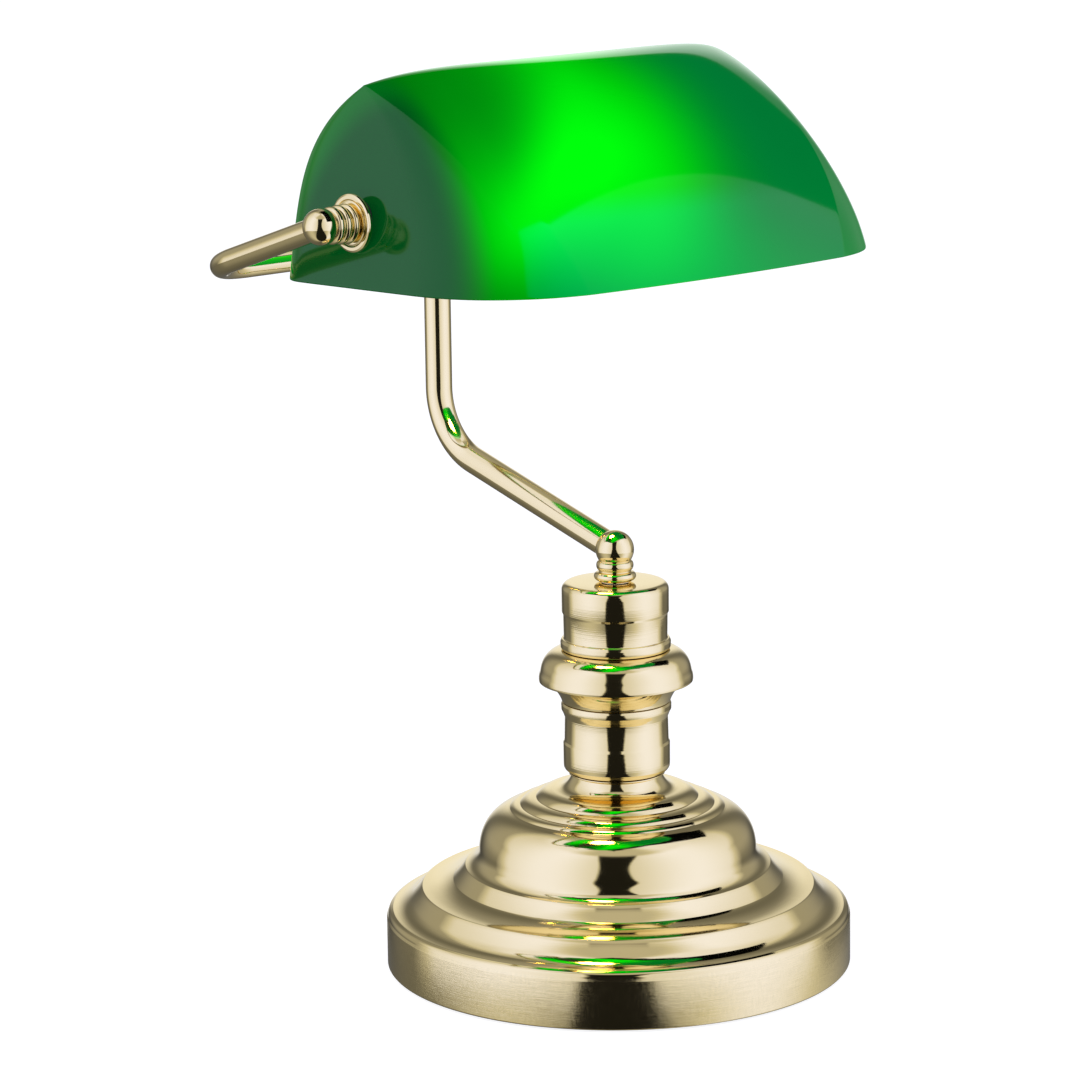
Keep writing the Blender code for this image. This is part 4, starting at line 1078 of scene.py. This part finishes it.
def build_world():
    """Light tent: a long softbox on each side of the camera, a pale ceiling, a white wall.

    Azimuth runs from the camera's own direction, positive to its right; both are in degrees.
    """
    world = bpy.data.worlds.new("studio")
    bpy.context.scene.world = world
    world.use_nodes = True
    tree = world.node_tree
    tree.nodes.clear()
    coordinates = tree.nodes.new("ShaderNodeTexCoord")
    split = tree.nodes.new("ShaderNodeSeparateXYZ")
    tree.links.new(coordinates.outputs["Generated"], split.inputs[0])
    x, y, z = [Field(tree, socket) for socket in split.outputs]
    turn = math.radians(CAMERA_TURN)
    across = x * math.cos(turn) + y * math.sin(turn)
    towards = x * math.sin(turn) - y * math.cos(turn)
    azimuth = across.math("ARCTAN2", towards) * (180.0 / math.pi)
    elevation = z.math("ARCSINE") * (180.0 / math.pi)
    side = azimuth.math("ABSOLUTE")
    spread = (elevation - 12.0).math("MAXIMUM", 0.0) * 0.9
    bow = (elevation - 18.0) * (elevation - 18.0)
    left_edge = (azimuth + bow * 0.005).ramp(-15.0, -18.5)
    right_edge = (azimuth - bow * 0.009).ramp(6.5, 10.0)
    left = (azimuth + spread).ramp(-131.0, -100.0) * left_edge
    left = left * (0.62 + 0.36 * azimuth.bell(-62.0, 42.0, 34.0))
    right = (azimuth - spread).ramp(132.0, 102.0) * right_edge
    right = right * (0.62 + 0.37 * azimuth.bell(66.0, 36.0, 42.0))
    fill = side.ramp(70.0, 110.0) * elevation.ramp(-16.0, 6.0, 0.15, 0.36)
    fill = fill * (1.0 - side.bell(158.0, 9.0, 9.0) * 0.6)
    wall = side.ramp(160.0, 172.0) * elevation.ramp(30.0, 12.0) * 0.6
    upper = left.math("MAXIMUM", right).math("MAXIMUM", fill)
    lower = (
        azimuth.bell(-60.0, 32.0, 28.0) * left_edge * 0.57
        + azimuth.bell(74.0, 36.0, 40.0) * right_edge * 0.92 + side.ramp(100.0, 140.0) * 0.1)
    ceiling = 0.52 + side.ramp(30.0, 70.0) * 0.36 - side.ramp(128.0, 152.0) * 0.5
    above = elevation.ramp(-17.2, -15.6)
    overhead = elevation.ramp(52.0, 62.0)
    level = upper * above + lower * (1.0 - above)
    level = level * (1.0 - overhead) + ceiling * overhead + 0.012
    cool = (level - 0.65).math("MAXIMUM", 0.0)
    wall = wall * above * (1.0 - overhead)
    light = colour(
        tree, level + wall, level * (1.0 + cool * 0.25) + wall, level * (1.0 + cool * 2.1) + wall)
    studio = tree.nodes.new("ShaderNodeBackground")
    tree.links.new(light, studio.inputs["Color"])
    studio.inputs["Strength"].default_value = 1.0
    backdrop = tree.nodes.new("ShaderNodeBackground")
    backdrop.inputs["Color"].default_value = (1.0, 1.0, 1.0, 1.0)
    backdrop.inputs["Strength"].default_value = 1.0
    path = tree.nodes.new("ShaderNodeLightPath")
    mix = tree.nodes.new("ShaderNodeMixShader")
    tree.links.new(path.outputs["Is Camera Ray"], mix.inputs[0])
    tree.links.new(studio.outputs[0], mix.inputs[1])
    tree.links.new(backdrop.outputs[0], mix.inputs[2])
    output = tree.nodes.new("ShaderNodeOutputWorld")
    tree.links.new(mix.outputs[0], output.inputs["Surface"])


def build_stage():
    mesh = bpy.data.meshes.new("studio_floor")
    shape = bmesh.new()
    bmesh.ops.create_circle(shape, cap_ends=True, segments=96, radius=6.0)
    shape.to_mesh(mesh)
    shape.free()
    floor = linked("studio_floor", mesh)
    floor.location.z = -0.0002
    made, tree, shader = new_material("pale_floor", Roughness=0.9)
    speck = noise(tree, 40.0, 3.0)
    tree.links.new(
        blend_colours(tree, speck, (0.30, 0.30, 0.30), (0.32, 0.32, 0.32)),
        shader.inputs["Base Color"])
    shader.inputs["Specular IOR Level"].default_value = 0.0
    shader.inputs["Emission Color"].default_value = (1.0, 1.0, 1.0, 1.0)
    shader.inputs["Emission Strength"].default_value = 0.86
    mesh.materials.append(made)
    floor.visible_glossy = False


def build_card():
    """Black card over the shade, seen only in reflections, so its top mirrors nothing."""
    mesh = bpy.data.meshes.new("studio_card")
    corners = [(-0.115, -0.100, 0.400), (0.330, -0.100, 0.400),
               (0.330, 0.060, 0.400), (-0.115, 0.060, 0.400)]
    mesh.from_pydata(corners, [], [(0, 1, 2, 3)])
    card = linked("studio_card", mesh)
    made, tree, shader = new_material("black_card", Roughness=1.0)
    speck = noise(tree, 40.0, 3.0)
    tree.links.new(
        blend_colours(tree, speck, (0.0005, 0.0005, 0.0005), (0.001, 0.001, 0.001)),
        shader.inputs["Base Color"])
    shader.inputs["Specular IOR Level"].default_value = 0.0
    mesh.materials.append(made)
    card.visible_camera = card.visible_diffuse = False
    card.visible_transmission = card.visible_shadow = False


def build_camera():
    data = bpy.data.cameras.new("photo_camera")
    data.lens = CAMERA_LENS
    data.sensor_width = 36.0
    data.clip_start = 0.05
    data.clip_end = 50.0
    camera = linked("photo_camera", data)
    camera.location = CAMERA_PLACE
    camera.rotation_euler = [math.radians(angle) for angle in CAMERA_ANGLES]
    bpy.context.scene.camera = camera


def build():
    finish = make_materials()
    build_column(finish)
    build_fittings(finish)
    build_tubes(finish)
    build_pivots(finish)
    build_shade(finish)
    build_lampholder(finish)
    carry_over(finish)
    build_world()
    build_stage()
    build_card()
    build_camera()
    bpy.context.scene.view_settings.view_transform = "Standard"


build()
